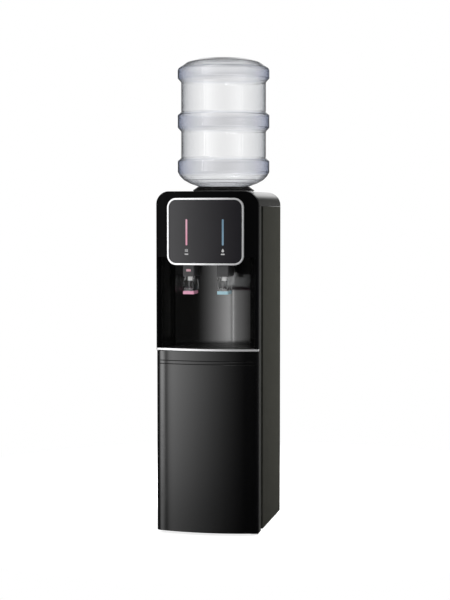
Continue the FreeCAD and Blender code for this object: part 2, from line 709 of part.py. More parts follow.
def make_drip_grille():
    z0 = FLOOR_Z1 + 2 * FIT + TRAY_T
    grille = tray_plan(TRAY_GAP + TRAY_T + 2 * FIT, z0, z0 + GRILLE_T)
    reach = SUMP_W / 2 - 6
    count = int(2 * reach / GRILLE_STEP)
    for i in range(count + 1):
        x = (i - count / 2) * GRILLE_STEP
        half = GRILLE_SLOT / 2
        end_r = half * 0.99
        y0 = sump_y0() + 4
        y1 = sump_y1() - 4
        outline = [(x - half, y0, end_r), (x + half, y0, end_r), (x + half, y1, end_r), (x - half, y1, end_r)]
        grille = grille.cut(prism(outline, "z", z0 - 1, z0 + GRILLE_T + 1))
    return grille


def make_storage_liner():
    wide = HALF_W - WALL - FIT
    z1 = STORE_Z0 + STORE_H
    back = STORE_BACK
    shell = box(-STORE_HALF, STORE_HALF, FRAME_Y, back, STORE_Z0, z1)
    flange = box(-wide, wide, FRAME_Y, FRAME_Y + 2, PAN_Z1 + FIT, WAIST_Z0 - FIT)
    hollow = box(
        STORE_T - STORE_HALF, STORE_HALF - STORE_T, FRAME_Y - 5, back - STORE_T,
        STORE_Z0 + STORE_T + 2, z1 - STORE_T,
    )
    return fused(shell, flange).cut(hollow)


# ---- Door ----
def make_door_skin():
    body = bow_block(HALF_W, DOOR_BACK, 0, DOOR_EDGE_R, DOOR_Z0, DOOR_Z1)
    rims = [e for e in body.Edges if is_front_rim(e)]
    body = body.makeFillet(DOOR_RIM_R, rims)
    hollow = door_block(FACE_T, DOOR_Z0 + FACE_T, DOOR_Z1 - FACE_T)
    hollow = hollow.common(box(-HALF_W, HALF_W - DOOR_STILE, -HALF_W, HALF_W, 0, TOP_Z))
    skin = body.cut(hollow)
    for z in (GROOVE_Z, GROOVE_Z + GROOVE_STEP):
        skin = skin.cut(level_groove(FOOT_H + z + GROOVE_H / 2))
    skin = skin.cut(rod(HINGE_X, HINGE_Y, DOOR_Z1 - PIN_IN - 1, PIN_R + RUN, PIN_IN + 2))
    return skin.cut(rod(HINGE_X, HINGE_Y, DOOR_Z0 - 1, PIN_R + RUN, PIN_IN + 2))


def door_block(inset, z0, z1):
    """The door's outline, set in by inset all round its front and sides and open at the back."""
    return bow_block(HALF_W - inset, DOOR_BACK + 5, inset, DOOR_EDGE_R - inset, z0, z1)


def level_groove(middle_z):
    """A V cut along the bowed front."""
    proud = 1.0
    half = GROOVE_H / 2 * (1 + proud / GROOVE_DEEP)
    section = [
        (BOW_R - GROOVE_DEEP, middle_z), (BOW_R + proud, middle_z - half), (BOW_R + proud, middle_z + half)
    ]
    return turned(section, 0, BOW_Y)


def is_front_rim(edge):
    """True for the curved edges round the front of the door's top and bottom."""
    first = edge.Vertexes[0]
    last = edge.Vertexes[-1]
    is_level = abs(first.Z - last.Z) < TINY
    return is_level and min(first.Y, last.Y) < DOOR_BACK - TINY


def make_door_liner():
    x0 = FACE_T + FIT - HALF_W
    x1 = HALF_W - DOOR_STILE - FIT
    z0 = DOOR_Z0 + FACE_T + FIT
    z1 = DOOR_Z1 - FACE_T - FIT
    sheet = box(x0, x1, DOOR_BACK - DOOR_LINER_T, DOOR_BACK, z0, z1)
    sheet = sheet.common(door_block(FACE_T + FIT, z0, z1))
    dish_y = DOOR_BACK - DISH_DEEP
    pressed = box(x0 + DISH_IN, x1 - DISH_IN, dish_y, DOOR_BACK + 1, z0 + DISH_IN, z1 - 2 * DISH_IN)
    x2, x3, z2, z3 = catch_place()
    return sheet.cut(pressed).cut(box(x2, x3, DOOR_BACK - CATCH_T, DOOR_BACK + 1, z2, z3))


def catch_place():
    z = DOOR_Z1 - CATCH_DOWN
    x = CATCH_IN - HALF_W
    return x, x + CATCH_W, z, z + CATCH_W


def make_catch_plate():
    x0, x1, z0, z1 = catch_place()
    return box(x0 + 0.1, x1 - 0.1, DOOR_BACK - CATCH_T, DOOR_BACK, z0 + 0.1, z1 - 0.1)


def make_catch_magnet():
    x0, x1, z0, z1 = catch_place()
    return box(x0 + 2, x1 - 2, DOOR_BACK + 0.4, FRAME_Y, z0 + 2, z1 - 2)


def make_door_pivots():
    """The pin pressed into the fascia's foot above the door, and the bracket with its pin below it."""
    upper_z = DOOR_Z1 - PIN_IN
    upper = rod(HINGE_X, HINGE_Y, upper_z, PIN_R, WAIST_Z1 + PIN_UP - upper_z)
    bracket_z = FOOT_H - BRACKET_T
    lower = rod(HINGE_X, HINGE_Y, bracket_z, PIN_R, PIN_IN + BRACKET_T)
    bracket_x = HALF_W - SHEET
    bracket = box(bracket_x - BRACKET_W, bracket_x, HINGE_Y - 7, FRAME_Y + BRACKET_BACK, bracket_z, FOOT_H)
    return [upper, fused(bracket, lower)]


# ---- Control panel ----
def make_panel_housing():
    inset = 0.6
    front = PANEL_PROUD - RIM_T
    block = rounded_rect(
        PANEL_W / 2 - inset, PANEL_Z0 + inset, PANEL_Z1 - inset, PANEL_R - inset, 2 * FRONT_MOST, FRAME_Y
    )
    wall = inset + WALL
    hollow = rounded_rect(
        PANEL_W / 2 - wall, PANEL_Z0 + wall, PANEL_Z1 - wall, PANEL_R - wall, 2 * FRONT_MOST, FRAME_Y
    )
    outer = block.common(bow_shell(-front, 0, PANEL_Z0, PANEL_Z1))
    return outer.cut(hollow.common(bow_shell(-front + 2, 1, PANEL_Z0, PANEL_Z1)))


def panel_outline(inset):
    return rounded_rect(
        PANEL_W / 2 - inset, PANEL_Z0 + inset, PANEL_Z1 - inset, PANEL_R - inset, 2 * FRONT_MOST, FRAME_Y
    )


def make_panel_rim():
    ring = panel_outline(0).cut(panel_outline(RIM_W))
    rim = ring.common(bow_shell(-PANEL_PROUD, RIM_T - PANEL_PROUD, PANEL_Z0, PANEL_Z1))
    return rim.makeFillet(RIM_EDGE_R, [e for e in rim.Edges if is_on_bow(e, -PANEL_PROUD)])


def is_on_bow(edge, inset):
    """True for an edge that lies all along the bowed front, set in by inset."""
    points = edge.discretize(5)
    return all(abs(math.hypot(p.x, p.y - BOW_Y) - BOW_R + inset) < 0.01 for p in points)


def light_bar(x, grow, inner, outer):
    z1 = PANEL_Z1 - BAR_TOP_GAP
    z0 = z1 - BAR_H
    half = BAR_W / 2 + grow
    bar = rounded_rect(half, z0 - grow, z1 + grow, half * 0.98, 2 * FRONT_MOST, FRAME_Y, x)
    return bar.common(bow_shell(outer, inner, PANEL_Z0, PANEL_Z1))


def glass_front():
    return SCREEN_DOWN - PANEL_PROUD


def make_panel_face():
    front = glass_front()
    face = panel_outline(RIM_W + 0.15).common(bow_shell(front, RIM_T - PANEL_PROUD, PANEL_Z0, PANEL_Z1))
    for x in (-BAR_X, BAR_X):
        face = face.cut(light_bar(x, 0.1, 1, front - 1))
    return face


def make_light_bar(x):
    return light_bar(x, 0, RIM_T - PANEL_PROUD, glass_front() - 0.1)


def make_panel_marks():
    """Three wavy steam strokes by the hot bar, a drop by the cold one, and a plain dash under each."""
    front = glass_front()
    skin = bow_shell(front - MARK_T, front, PANEL_Z0, PANEL_Z1)
    z = PANEL_Z1 - BAR_TOP_GAP - BAR_H
    shapes = []
    for x in (-BAR_X, BAR_X):
        shapes.append(rounded_rect(5.5, z - 27, z - 23.4, 1.7, 2 * FRONT_MOST, 0, x))
    for i in (-1, 0, 1):
        x = i * 3.4 - BAR_X
        shapes.append(rounded_rect(0.8, z - 19, z - 10.5, 0.75, 2 * FRONT_MOST, 0, x))
    drop = [
        (BAR_X, z - 8.6, 0.4), (BAR_X - 4.4, z - 16.6, 3.2),
        (BAR_X, z - 20.6, 3.4), (BAR_X + 4.4, z - 16.6, 3.2)
    ]
    shapes.append(prism(drop, "y", 2 * FRONT_MOST, 0))
    return [shape.common(skin) for shape in shapes]


def make_control_board():
    half_w = BOARD_W / 2
    z0 = PANEL_Z0 + BOARD_UP
    z1 = PANEL_Z1 - BOARD_DOWN
    y = bow_y(half_w, FACE_T) + BOARD_BACK
    board = box(-half_w, half_w, y, y + BOARD_T, z0, z1)
    behind_skin = bow_cylinder(FACE_T, z0, z1)
    posts = []
    for x in (POST_IN - half_w, half_w - POST_IN):
        for z in (z0 + POST_IN, z1 - POST_IN):
            posts.append(rod(x, 2 * FRONT_MOST, z, POST_R, y - 2 * FRONT_MOST, Y_AXIS).common(behind_skin))
    chip = box(-12, 12, y + BOARD_T, y + BOARD_T + 3, z0 + 30, z0 + 54)
    plug = box(30, 52, y + BOARD_T, y + BOARD_T + 8, z0 + 12, z0 + 20)
    return fused(board, chip, plug, *posts)


# ---- Taps ----
def make_tap_housing(x, has_lock):
    half = TAP_HALF
    round_r = 3.0
    outline = [
        (x - half, TAP_FRONT, round_r), (x + half, TAP_FRONT, round_r),
        (x + half, TAP_BACK, 1), (x - half, TAP_BACK, 1)
    ]
    shell = prism(outline, "z", TAP_Z0, NICHE_Z1)
    shell = fused(shell, rod(x, SPIGOT_Y, NICHE_Z1, SPIGOT_R, SPIGOT_H))
    hollow = box(
        x - half + TAP_WALL, x + half - TAP_WALL, TAP_FRONT + TAP_WALL, TAP_BACK - TAP_WALL,
        TAP_Z0 - 1, NICHE_Z1 - TAP_WALL,
    )
    bore = rod(x, SPIGOT_Y, NICHE_Z1 - TAP_WALL - 1, SPIGOT_R - 2, SPIGOT_H + 10)
    pin_hole = rod(x - half - 1, LEVER_Y, LEVER_Z, LEVER_PIN_R + 0.02, TAP_W + 2, X_AXIS)
    housing = shell.cut(hollow).cut(bore).cut(pin_hole)
    if has_lock:
        housing = housing.cut(lock_block(x, 0.3, TAP_FRONT - 1, TAP_FRONT + TAP_WALL + 1))
    return housing


def lock_block(x, grow, y0, y1):
    z = TAP_Z0 + LOCK_UP
    return rounded_rect(LOCK_W / 2 + grow, z - LOCK_H / 2 - grow, z + LOCK_H / 2 + grow, 1.5 + grow, y0, y1, x)


def make_lock_button(x):
    inner = TAP_FRONT + TAP_WALL
    stem = lock_block(x, 0, TAP_FRONT - LOCK_PROUD, inner + 0.1)
    return fused(stem, lock_block(x, 1.6, inner + 0.1, inner + 1.4))


def make_nozzle(x):
    z0 = TAP_Z0 - NOZZLE_DROP
    body = tube(x, NOZZLE_Y, z0, NOZZLE_R, NOZZLE_BORE, NICHE_Z1 - TAP_WALL - z0)
    half = CROSS_PIN_R + 0.8
    slot = box(
        x - TAP_HALF, x + TAP_HALF, NOZZLE_Y - half, NOZZLE_Y + half,
        CROSS_PIN_Z - half, CROSS_PIN_Z + half + PLUNGER_LIFT,
    )
    return body.cut(slot)


def make_plunger(x):
    z0 = TAP_Z0 - NOZZLE_DROP + SEAL_UP
    stem = rod(x, NOZZLE_Y, z0, PLUNGER_R, NICHE_Z1 - TAP_H / 4 - z0)
    seal = rod(x, NOZZLE_Y, z0, NOZZLE_BORE - 0.3, SEAL_T)
    cross = rod(x - LUG_OUT, NOZZLE_Y, CROSS_PIN_Z, CROSS_PIN_R, 2 * LUG_OUT, X_AXIS)
    return fused(stem, seal, cross)


def make_lever(x):
    top = TAP_Z0 - CRADLE_TOP
    side = [
        (LEVER_FRONT, LEVER_Z0, 2), (LEVER_BACK, LEVER_Z0, 4), (LEVER_BACK, top - 8, 4), (LEVER_Y + 8, top),
        (LEVER_FRONT, top, 2)
    ]
    pieces = []
    for outer, lug in ((CRADLE_HALF, LUG_OUT), (LEVER_T - CRADLE_HALF, LEVER_T - LUG_OUT)):
        pieces.append(prism(side, "x", x + outer - LEVER_T, x + outer))
        pieces.append(rod(x + lug - LEVER_T, LEVER_Y, LEVER_Z, 5.0, LEVER_T, X_AXIS))
        pieces.append(rod(x + lug - LEVER_T, NOZZLE_Y, LEVER_Z, NOSE_R, LEVER_T, X_AXIS))
        low = x + min(outer, lug) - LEVER_T
        high = x + max(outer, lug)
        pieces.append(box(x + lug - LEVER_T, x + lug, LEVER_Y - 5, LEVER_Y + 5, top - 6, LEVER_Z))
        pieces.append(box(x + lug - LEVER_T, x + lug, LEVER_Y, NOZZLE_Y, LEVER_Z - NOSE_R, LEVER_Z + 0.5))
        pieces.append(box(low, high, LEVER_Y - 5, LEVER_Y + 5, top - 6, top - 0.5))
    half = CRADLE_HALF
    band_z = LEVER_Z0 + 2 * BAR_BAND_H
    pieces.append(box(x - half, x + half, LEVER_FRONT, LEVER_FRONT + LEVER_T, LEVER_Z0 + 2, band_z))
    lever = fused(*pieces)
    return lever.cut(rod(x - half, LEVER_Y, LEVER_Z, LEVER_PIN_R + RUN, 2 * half, X_AXIS))


def make_lever_bar(x):
    inner = CRADLE_HALF + 0.05
    outer = inner + BAR_BAND_T
    front = LEVER_FRONT - 0.05
    reach = LEVER_BACK - 8
    outline = [
        (x - outer, front - BAR_BAND_T, 2.5), (x + outer, front - BAR_BAND_T, 2.5), (x + outer, reach),
        (x + inner, reach), (x + inner, front), (x - inner, front), (x - inner, reach), (x - outer, reach)
    ]
    return prism(outline, "z", LEVER_Z0 + 0.4, LEVER_Z0 + 0.4 + BAR_BAND_H)


def make_lever_pins():
    return [rod(x - TAP_HALF, LEVER_Y, LEVER_Z, LEVER_PIN_R, TAP_W, X_AXIS) for x in (-TAP_X, TAP_X)]


def make_lever_springs():
    half = LUG_IN - 0.4
    bore = LEVER_PIN_R + 0.3
    return [tube(x - half, LEVER_Y, LEVER_Z, bore + 1.2, bore, 2 * half, X_AXIS) for x in (-TAP_X, TAP_X)]


# ---- Bottle and its seat ----
def bottle_path():
    """The bottle's outer outline, from the middle of its closed end, which is up, down to its mouth."""
    path = [
        (0, BOTTLE_H, 0), (BOTTLE_R - DOME_FLAT_IN, BOTTLE_H - DOME_FLAT_DROP, DOME_FLAT_BEND),
        (BOTTLE_R - DOME_EDGE_IN, BOTTLE_H - DOME_EDGE_DROP, DOME_EDGE_BEND)
    ]
    for low, high in reversed(RIDGES):
        if high == RIDGES[-1][1]:
            path.append((BOTTLE_R, high, 12))
        else:
            path.append((BOTTLE_WAIST, high + 10, 4))
            path.append((BOTTLE_R, high, 4))
        path.append((BOTTLE_R, low, 4))
        if low != RIDGES[0][0]:
            path.append((BOTTLE_WAIST, low - 12, 4))
    path += BOTTLE_FOOT
    path.append((NECK_R, -NECK_H, 0))
    return [(r, SHOULDER_Z + h, radius) for r, h, radius in path]


def make_water_bottle():
    outer = bottle_path()
    inner = offset_path(outer, -BOTTLE_T)
    top_r, top_z, _ = inner[0]
    inner[0] = (0, top_z, 0)
    end_r, end_z, _ = inner[-1]
    inner[-1] = (end_r, outer[-1][1], 0)
    return turned(outer + inner[::-1], 0, BOTTLE_Y)


def make_bottle_cap():
    z0 = SHOULDER_Z - NECK_H - CAP_T - FIT
    outline = [
        (PROBE_R + 0.5, z0), (CAP_R, z0, 1.5), (CAP_R, z0 + CAP_H, 1), (NECK_R + 0.1, z0 + CAP_H),
        (NECK_R + 0.1, z0 + CAP_T), (PROBE_R + 0.5, z0 + CAP_T)
    ]
    return turned(outline, 0, BOTTLE_Y)


def make_bottle_seat():
    rest = SHOULDER_Z - 0.4
    cup_r = CAP_R + 3.0
    flange = TOP_Z + GASKET_H
    outline = [
        (75, rest + 1.0), (72, rest), (40, rest - 8, 3), (cup_r, rest - 11),
        (cup_r, SEAT_FLOOR + SEAT_WALL), (PROBE_R + 1.5, SEAT_FLOOR + SEAT_WALL), (PROBE_R + 1.5, SEAT_FLOOR),
        (cup_r + SEAT_WALL, SEAT_FLOOR, 2), (cup_r + SEAT_WALL, TOP_Z - 6, 2),
        (SEAT_HOLE_R - 3, TOP_Z - 2), (SEAT_HOLE_R - 3, flange),
        (SEAT_R, flange), (SEAT_R, flange + 2, 0.8), (78, rest + 1.0, 1),
    ]
    return turned(outline, 0, BOTTLE_Y)


def make_seat_gasket():
    return tube(0, BOTTLE_Y, TOP_Z, SEAT_R - 2, SEAT_HOLE_R, GASKET_H)


def make_feed_probe():
    bore = PROBE_R - 3
    pipe = tube(0, BOTTLE_Y, TANK_Z1 - 24, PROBE_R, bore, SHOULDER_Z - NECK_H + 12 - TANK_Z1 + 24)
    flange = tube(0, BOTTLE_Y, TANK_Z1, 14, bore, PROBE_FLANGE_T)
    probe = fused(pipe, flange)
    return probe.cut(rod(-2 * PROBE_R, BOTTLE_Y, SHOULDER_Z - NECK_H + 6, 2.5, 4 * PROBE_R, X_AXIS))


# ---- Tanks and water lines ----
def make_cold_tank():
    body = rod(0, BOTTLE_Y, TANK_Z0, TANK_R, TANK_H)
    inner = rod(0, BOTTLE_Y, TANK_Z0 + TANK_T, TANK_R - TANK_T, TANK_H - TANK_T - 2)
    stub_z = cold_stub_z()
    stub_end = cold_stub_y()
    stub = rod(TAP_X, stub_end, stub_z, STUB_R, BOTTLE_Y - stub_end, Y_AXIS)
    outside = stub.cut(body)
    tank = fused(body.cut(inner), outside)
    tank = tank.cut(rod(TAP_X, stub_end - 1, stub_z, STUB_R - 1, BOTTLE_Y - stub_end, Y_AXIS))
    return tank.cut(rod(0, BOTTLE_Y, TANK_Z1 - 5, PROBE_R + 0.3, 10))


def cold_stub_y():
    return BOTTLE_Y - math.sqrt(FOAM_R ** 2 - TAP_X ** 2) - STUB_OUT


def cold_stub_z():
    return TANK_Z0 + COLD_STUB_UP


def make_tank_insulation():
    coil_r = TANK_R + COIL_T + HOLE_FIT
    foam = rod(0, BOTTLE_Y, SHELF_Z, FOAM_R, TANK_Z1 - 6 - SHELF_Z)
    foam = foam.cut(rod(0, BOTTLE_Y, TANK_Z0, coil_r, TANK_H + 5))
    foam = foam.cut(rod(TAP_X, 0, cold_stub_z(), STUB_R + 0.3, BOTTLE_Y, Y_AXIS))
    foam = foam.cut(rod(0, BOTTLE_Y, suction_z(), SUCTION_R + HOLE_FIT, FOAM_R + 5, X_AXIS))
    foam = foam.cut(rod(0, BOTTLE_Y, capillary_z(), CAPILLARY_R + HOLE_FIT, FOAM_R + 5, X_AXIS))
    jacket = rod(HOT_X, HOT_Y, HOT_Z0 - HOT_END_FOAM, HOT_FOAM_R, HOT_FOAM_Z1 - HOT_Z0 + HOT_END_FOAM)
    jacket = jacket.cut(rod(HOT_X, HOT_Y, HOT_Z0, HOT_R + BAND_T + 0.5, HOT_H))
    jacket = jacket.cut(rod(HOT_X, 0, hot_stub_z(), STUB_R + 0.3, HOT_Y, Y_AXIS))
    jacket = jacket.cut(rod(HOT_X, HOT_Y, HOT_Z0 - 30, STUB_R + 0.3, 35))
    return [foam, jacket]


def hot_stub_z():
    return HOT_Z1 - HOT_STUB_DOWN


def suction_z():
    return TANK_Z1 - SUCTION_DOWN


def capillary_z():
    return TANK_Z1 - CAPILLARY_DOWN


def make_hot_tank():
    body = rod(HOT_X, HOT_Y, HOT_Z0, HOT_R, HOT_H)
    inner = rod(HOT_X, HOT_Y, HOT_Z0 + TANK_T, HOT_R - TANK_T, HOT_H - 2 * TANK_T)
    front = HOT_Y - HOT_FOAM_R - STUB_OUT
    outlet = rod(HOT_X, front, hot_stub_z(), STUB_R, HOT_Y - front, Y_AXIS).cut(body)
    drain_z = HOT_Z0 - HOT_END_FOAM - STUB_OUT
    drain = rod(HOT_X, HOT_Y, drain_z, STUB_R, HOT_Z0 - drain_z)
    tank = fused(body.cut(inner), outlet, drain)
    tank = tank.cut(rod(HOT_X, front - 1, hot_stub_z(), STUB_R - 1, HOT_Y - front, Y_AXIS))
    return tank.cut(rod(HOT_X, HOT_Y, drain_z - 1, STUB_R - 1, HOT_Z0 - drain_z + 5))


def make_heater_band():
    band = tube(HOT_X, HOT_Y, HOT_Z0 + BAND_UP, HOT_R + BAND_T, HOT_R + FIT, BAND_H)
    half = BAND_SPLIT / 2
    return band.cut(box(HOT_X - half, HOT_X + half, HOT_Y, HOT_Y + 2 * HOT_R, HOT_Z0, HOT_Z1))


def make_silicone_tubes():
    low = NICHE_Z1 + WALL + 3
    high = low + HOSE_UP
    back = hot_hose_y()
    hot = [
        (HOT_X, SPIGOT_Y, low), (HOT_X, SPIGOT_Y, high), (HOT_X, back, high),
        (HOT_X, back, hot_stub_z()), (HOT_X, HOT_Y - HOT_FOAM_R - 1, hot_stub_z())
    ]
    cold_z = cold_stub_z()
    cold_y = cold_stub_y() - COLD_HOSE_OUT
    cold = [
        (TAP_X, SPIGOT_Y, low), (TAP_X, SPIGOT_Y, high), (TAP_X, cold_y, high),
        (TAP_X, cold_y, cold_z), (TAP_X, cold_stub_y() + 7, cold_z)
    ]
    return [widened(swept(route, HOSE_R, HOSE_BEND, HOSE_BORE), route[0]) for route in (hot, cold)]


def hot_hose_y():
    return HOT_Y - HOT_FOAM_R - HOT_HOSE_OUT


def widened(hose, start):
    """A hose stretched over a tap's spigot where it starts."""
    x, y, z = start
    grip = NICHE_Z1 + SPIGOT_H + 0.3 - z
    return hose.fuse(rod(x, y, z, SPIGOT_R + 2.2, grip)).cut(rod(x, y, z, SPIGOT_R + 0.1, grip))


def make_tank_shelf():
    half = HALF_W - SHEET - 0.1
    y0 = NICHE_D + WALL + 3.5
    y1 = BODY_D - 2 * SHEET - FIT
    plate = box(-half, half, y0, y1, SHELF_Z - SHELF_T, SHELF_Z)
    lips = [box(s - SHELF_T, s, y0, y1, SHELF_Z - SHELF_LIP, SHELF_Z) for s in (half, SHELF_T - half)]
    shelf = fused(plate, *lips)
    holes = [
        (HOT_X, hot_hose_y(), HOSE_R + 2), (suction_x(), BOTTLE_Y, SUCTION_R + 2),
        (RISER_X, LINE_Y, CAPILLARY_R + 2)
    ]
    for x, y, radius in holes:
        shelf = shelf.cut(rod(x, y, SHELF_Z - 20, radius, 30))
    return shelf


def make_drain_tube():
    start = HOT_Z0 - HOT_END_FOAM - 1
    turn = start - DRAIN_LEG
    route = [
        (HOT_X, HOT_Y, start), (HOT_X, HOT_Y, turn), (DRAIN_X, HOT_Y, turn),
        (DRAIN_X, HOT_Y, DRAIN_Z), (DRAIN_X, BODY_D + DRAIN_OUT, DRAIN_Z)
    ]
    return swept(route, HOSE_R, HOSE_BEND, HOSE_BORE)


def make_drain_cap():
    start = BODY_D + 2
    end = BODY_D + DRAIN_OUT + 3
    cap = rod(DRAIN_X, start, DRAIN_Z, HOSE_R + 3.5, end - start, Y_AXIS)
    cap = cap.cut(rod(DRAIN_X, start, DRAIN_Z, HOSE_R + 0.3, DRAIN_OUT - 1.7, Y_AXIS))
    ribs = 12
    for i in range(ribs):
        angle = 2 * math.pi * i / ribs
        reach = HOSE_R + 4.2
        x = DRAIN_X + reach * math.cos(angle)
        cap = cap.cut(rod(x, start, DRAIN_Z + reach * math.sin(angle), 1.2, end - start, Y_AXIS))
    return cap


# ---- Refrigeration ----
def make_compressor():
    top = COMP_PLATE_Z + COMP_PLATE_T + COMP_H
    shell = turned([(0, COMP_PLATE_Z), (COMP_R, COMP_PLATE_Z, 8), (COMP_R, top, 38), (0, top)], 0, COMP_Y)
    seam = tube(0, COMP_Y, COMP_PLATE_Z + COMP_SEAM_UP, COMP_R + 2, COMP_R - 2, 4)
    half_w = COMP_PLATE_W / 2
    half_d = COMP_PLATE_D / 2
    plate = box(-half_w, half_w, COMP_Y - half_d, COMP_Y + half_d, COMP_PLATE_Z, COMP_PLATE_Z + COMP_PLATE_T)
    for x, y in grommet_places():
        plate = plate.cut(rod(x, y, COMP_PLATE_Z - 1, 6.2, COMP_PLATE_T + 2))
    terminal = box(-COMP_R - 12, -COMP_R + 12, COMP_Y - 18, COMP_Y + 18, COMP_PLATE_Z + 40, COMP_PLATE_Z + 86)
    return fused(shell, seam, plate, terminal)


def grommet_places():
    out_x = COMP_PLATE_W / 2 - GROMMET_IN
    out_y = COMP_PLATE_D / 2 - GROMMET_IN
    return [(x, COMP_Y + y) for x in (-out_x, out_x) for y in (-out_y, out_y)]


def make_compressor_grommets():
    grommets = []
    for x, y in grommet_places():
        outline = [
            (3.2, PAN_Z1), (10, PAN_Z1, 2), (10, COMP_PLATE_Z), (6, COMP_PLATE_Z), (6, COMP_PLATE_Z + 3.2),
            (8, COMP_PLATE_Z + 3.2), (8, COMP_PLATE_Z + 6, 1), (3.2, COMP_PLATE_Z + 6)
        ]
        grommets.append(turned(outline, x, y))
    return grommets


def suction_x():
    return FOAM_R + SUCTION_OUT


def make_refrigerant_lines(compressor):
    """Suction and discharge pipes, the drier with its capillary, and the evaporator round the cold tank."""
    evaporator_r = TANK_R + COIL_T + FIT
    x = suction_x()
    z = COMP_PLATE_Z + SUCTION_UP
    suction = swept(
        [(COMP_R - 3, COMP_Y, z), (x, COMP_Y, z), (x, BOTTLE_Y, z), (x, BOTTLE_Y, suction_z()),
         (evaporator_r, BOTTLE_Y, suction_z())], SUCTION_R, 3 * SUCTION_R
    )
    x = -COIL_IN_X
    discharge = swept(
        [(x, COMP_Y, COMP_PLATE_Z + COMP_H - 40), (x, COMP_Y, COIL_Z), (x, LINE_Y, COIL_Z),
         (x, LINE_Y, COIL_TOP_Z), (x, LINE_END_Y, COIL_TOP_Z)], COIL_TUBE_R, PIPE_BEND
    )
    drier_z = COIL_Z + PIPE_BEND + 5
    link = swept(
        [(COIL_IN_X, LINE_END_Y, COIL_Z), (COIL_IN_X, LINE_Y, COIL_Z), (COIL_IN_X, LINE_Y, drier_z + 1)],
        COIL_TUBE_R, PIPE_BEND
    )
    drier = rod(COIL_IN_X, LINE_Y, drier_z, DRIER_R, DRIER_H)
    top = drier_z + DRIER_H
    capillary = swept(
        [(COIL_IN_X, LINE_Y, top - 1), (COIL_IN_X, LINE_Y, top + 2 * PIPE_BEND),
         (RISER_X, LINE_Y, top + 2 * PIPE_BEND), (RISER_X, LINE_Y, capillary_z()),
         (RISER_X, BOTTLE_Y, capillary_z()), (evaporator_r, BOTTLE_Y, capillary_z())],
        CAPILLARY_R, 4 * CAPILLARY_R
    )
    evaporator = tube(0, BOTTLE_Y, TANK_Z0 + 24, TANK_R + COIL_T, TANK_R + FIT, TANK_H - 50)
    liquid = fused(link, drier, capillary)
    return [suction.cut(compressor), discharge.cut(compressor), liquid, evaporator]


def make_condenser_coil():
    bend = COIL_STEP / 2
    corners = [(Vector(COIL_IN_X, LINE_END_Y, COIL_Z), 0), (Vector(COIL_IN_X, COIL_Y, COIL_Z), 8)]
    for level in range(COIL_LEVELS - 1):
        side = COIL_HALF if level % 2 == 0 else -COIL_HALF
        z = COIL_Z + level * COIL_STEP
        corners.append((Vector(side, COIL_Y, z), bend))
        corners.append((Vector(side, COIL_Y, z + COIL_STEP), bend))
    corners.append((Vector(-COIL_IN_X, COIL_Y, COIL_TOP_Z), 8))
    corners.append((Vector(-COIL_IN_X, LINE_END_Y, COIL_TOP_Z), 0))
    spine = Part.Wire(rounded_edges(corners, False))
    section = Part.Wire(Part.Circle(corners[0][0], Y_AXIS, COIL_TUBE_R).toShape())
    return spine.makePipeShell([section], True, False)


def make_condenser_wires():
    z0 = COIL_Z - WIRE_OVER
    length = COIL_TOP_Z - COIL_Z + 2 * WIRE_OVER
    reach = COIL_TUBE_R + WIRE_R + 0.02
    first_x = -(WIRES - 1) * WIRE_STEP / 2
    solids = []
    for i in range(WIRES):
        x = first_x + i * WIRE_STEP
        crosses_inlet = abs(abs(x) - COIL_IN_X) < COIL_TUBE_R + WIRE_R + 1
        solids.append(rod(x, COIL_Y + reach, z0, WIRE_R, length))
        if not crosses_inlet:
            solids.append(rod(x, COIL_Y - reach, z0, WIRE_R, length))
    inner_face = COIL_Y - reach - WIRE_R - 0.02
    for x in (first_x, -first_x):
        for z in (COIL_Z + 1.5 * COIL_STEP, COIL_Z + (COIL_LEVELS - 2.5) * COIL_STEP):
            solids.append(box(x - 6, x + 6, BODY_D, inner_face, z - 9, z + 9))
    return solids


# ---- Switches and cord gland ----
def make_switch_plate():
    half_w = SWITCH_W / 2
    half_h = SWITCH_H / 2
    low = SWITCH_Z - half_h
    high = SWITCH_Z + half_h
    middle = sum(SWITCH_XS) / 2
    plate = rounded_rect(
        SWITCH_STEP / 2 + SWITCH_W, low - 7, high + 7, 3, BODY_D, BODY_D + 2, middle
    )
    for x in SWITCH_XS:
        plate = plate.fuse(box(x - half_w, x + half_w, BODY_D - 24, BODY_D, low, high))
    for x in SWITCH_XS:
        plate = plate.cut(rod(x - 6.9, BODY_D, SWITCH_Z, ROCKER_R + 0.4, 13.8, X_AXIS))
    return plate.removeSplitter()


def make_rocker(x):
    """A rocker on a level pin, tipped to one side, whose body stays inside a circle about that pin."""
    disc = rod(x - 6.5, BODY_D, SWITCH_Z, ROCKER_R, 13.0, X_AXIS)
    front = [
        (BODY_D - 6, SWITCH_Z - 12), (BODY_D - 6, SWITCH_Z + 12), (BODY_D + 5.4, SWITCH_Z + 12),
        (BODY_D + 3.6, SWITCH_Z), (BODY_D + 5.4, SWITCH_Z - 12)
    ]
    rocker = disc.common(prism(front, "x", x - 7, x + 7))
    rocker.rotate(Vector(x, BODY_D, SWITCH_Z), X_AXIS, -ROCKER_TILT)
    return rocker


def make_cord_gland():
    body = rod(GLAND_X, BODY_D - 9, GLAND_Z, GLAND_BORE + 3.7, 9, Y_AXIS)
    flange = rod(GLAND_X, BODY_D, GLAND_Z, GLAND_BORE + 7, 4, Y_AXIS)
    gland = fused(body, flange)
    return gland.cut(rod(GLAND_X, BODY_D - 12, GLAND_Z, GLAND_BORE, 20, Y_AXIS))


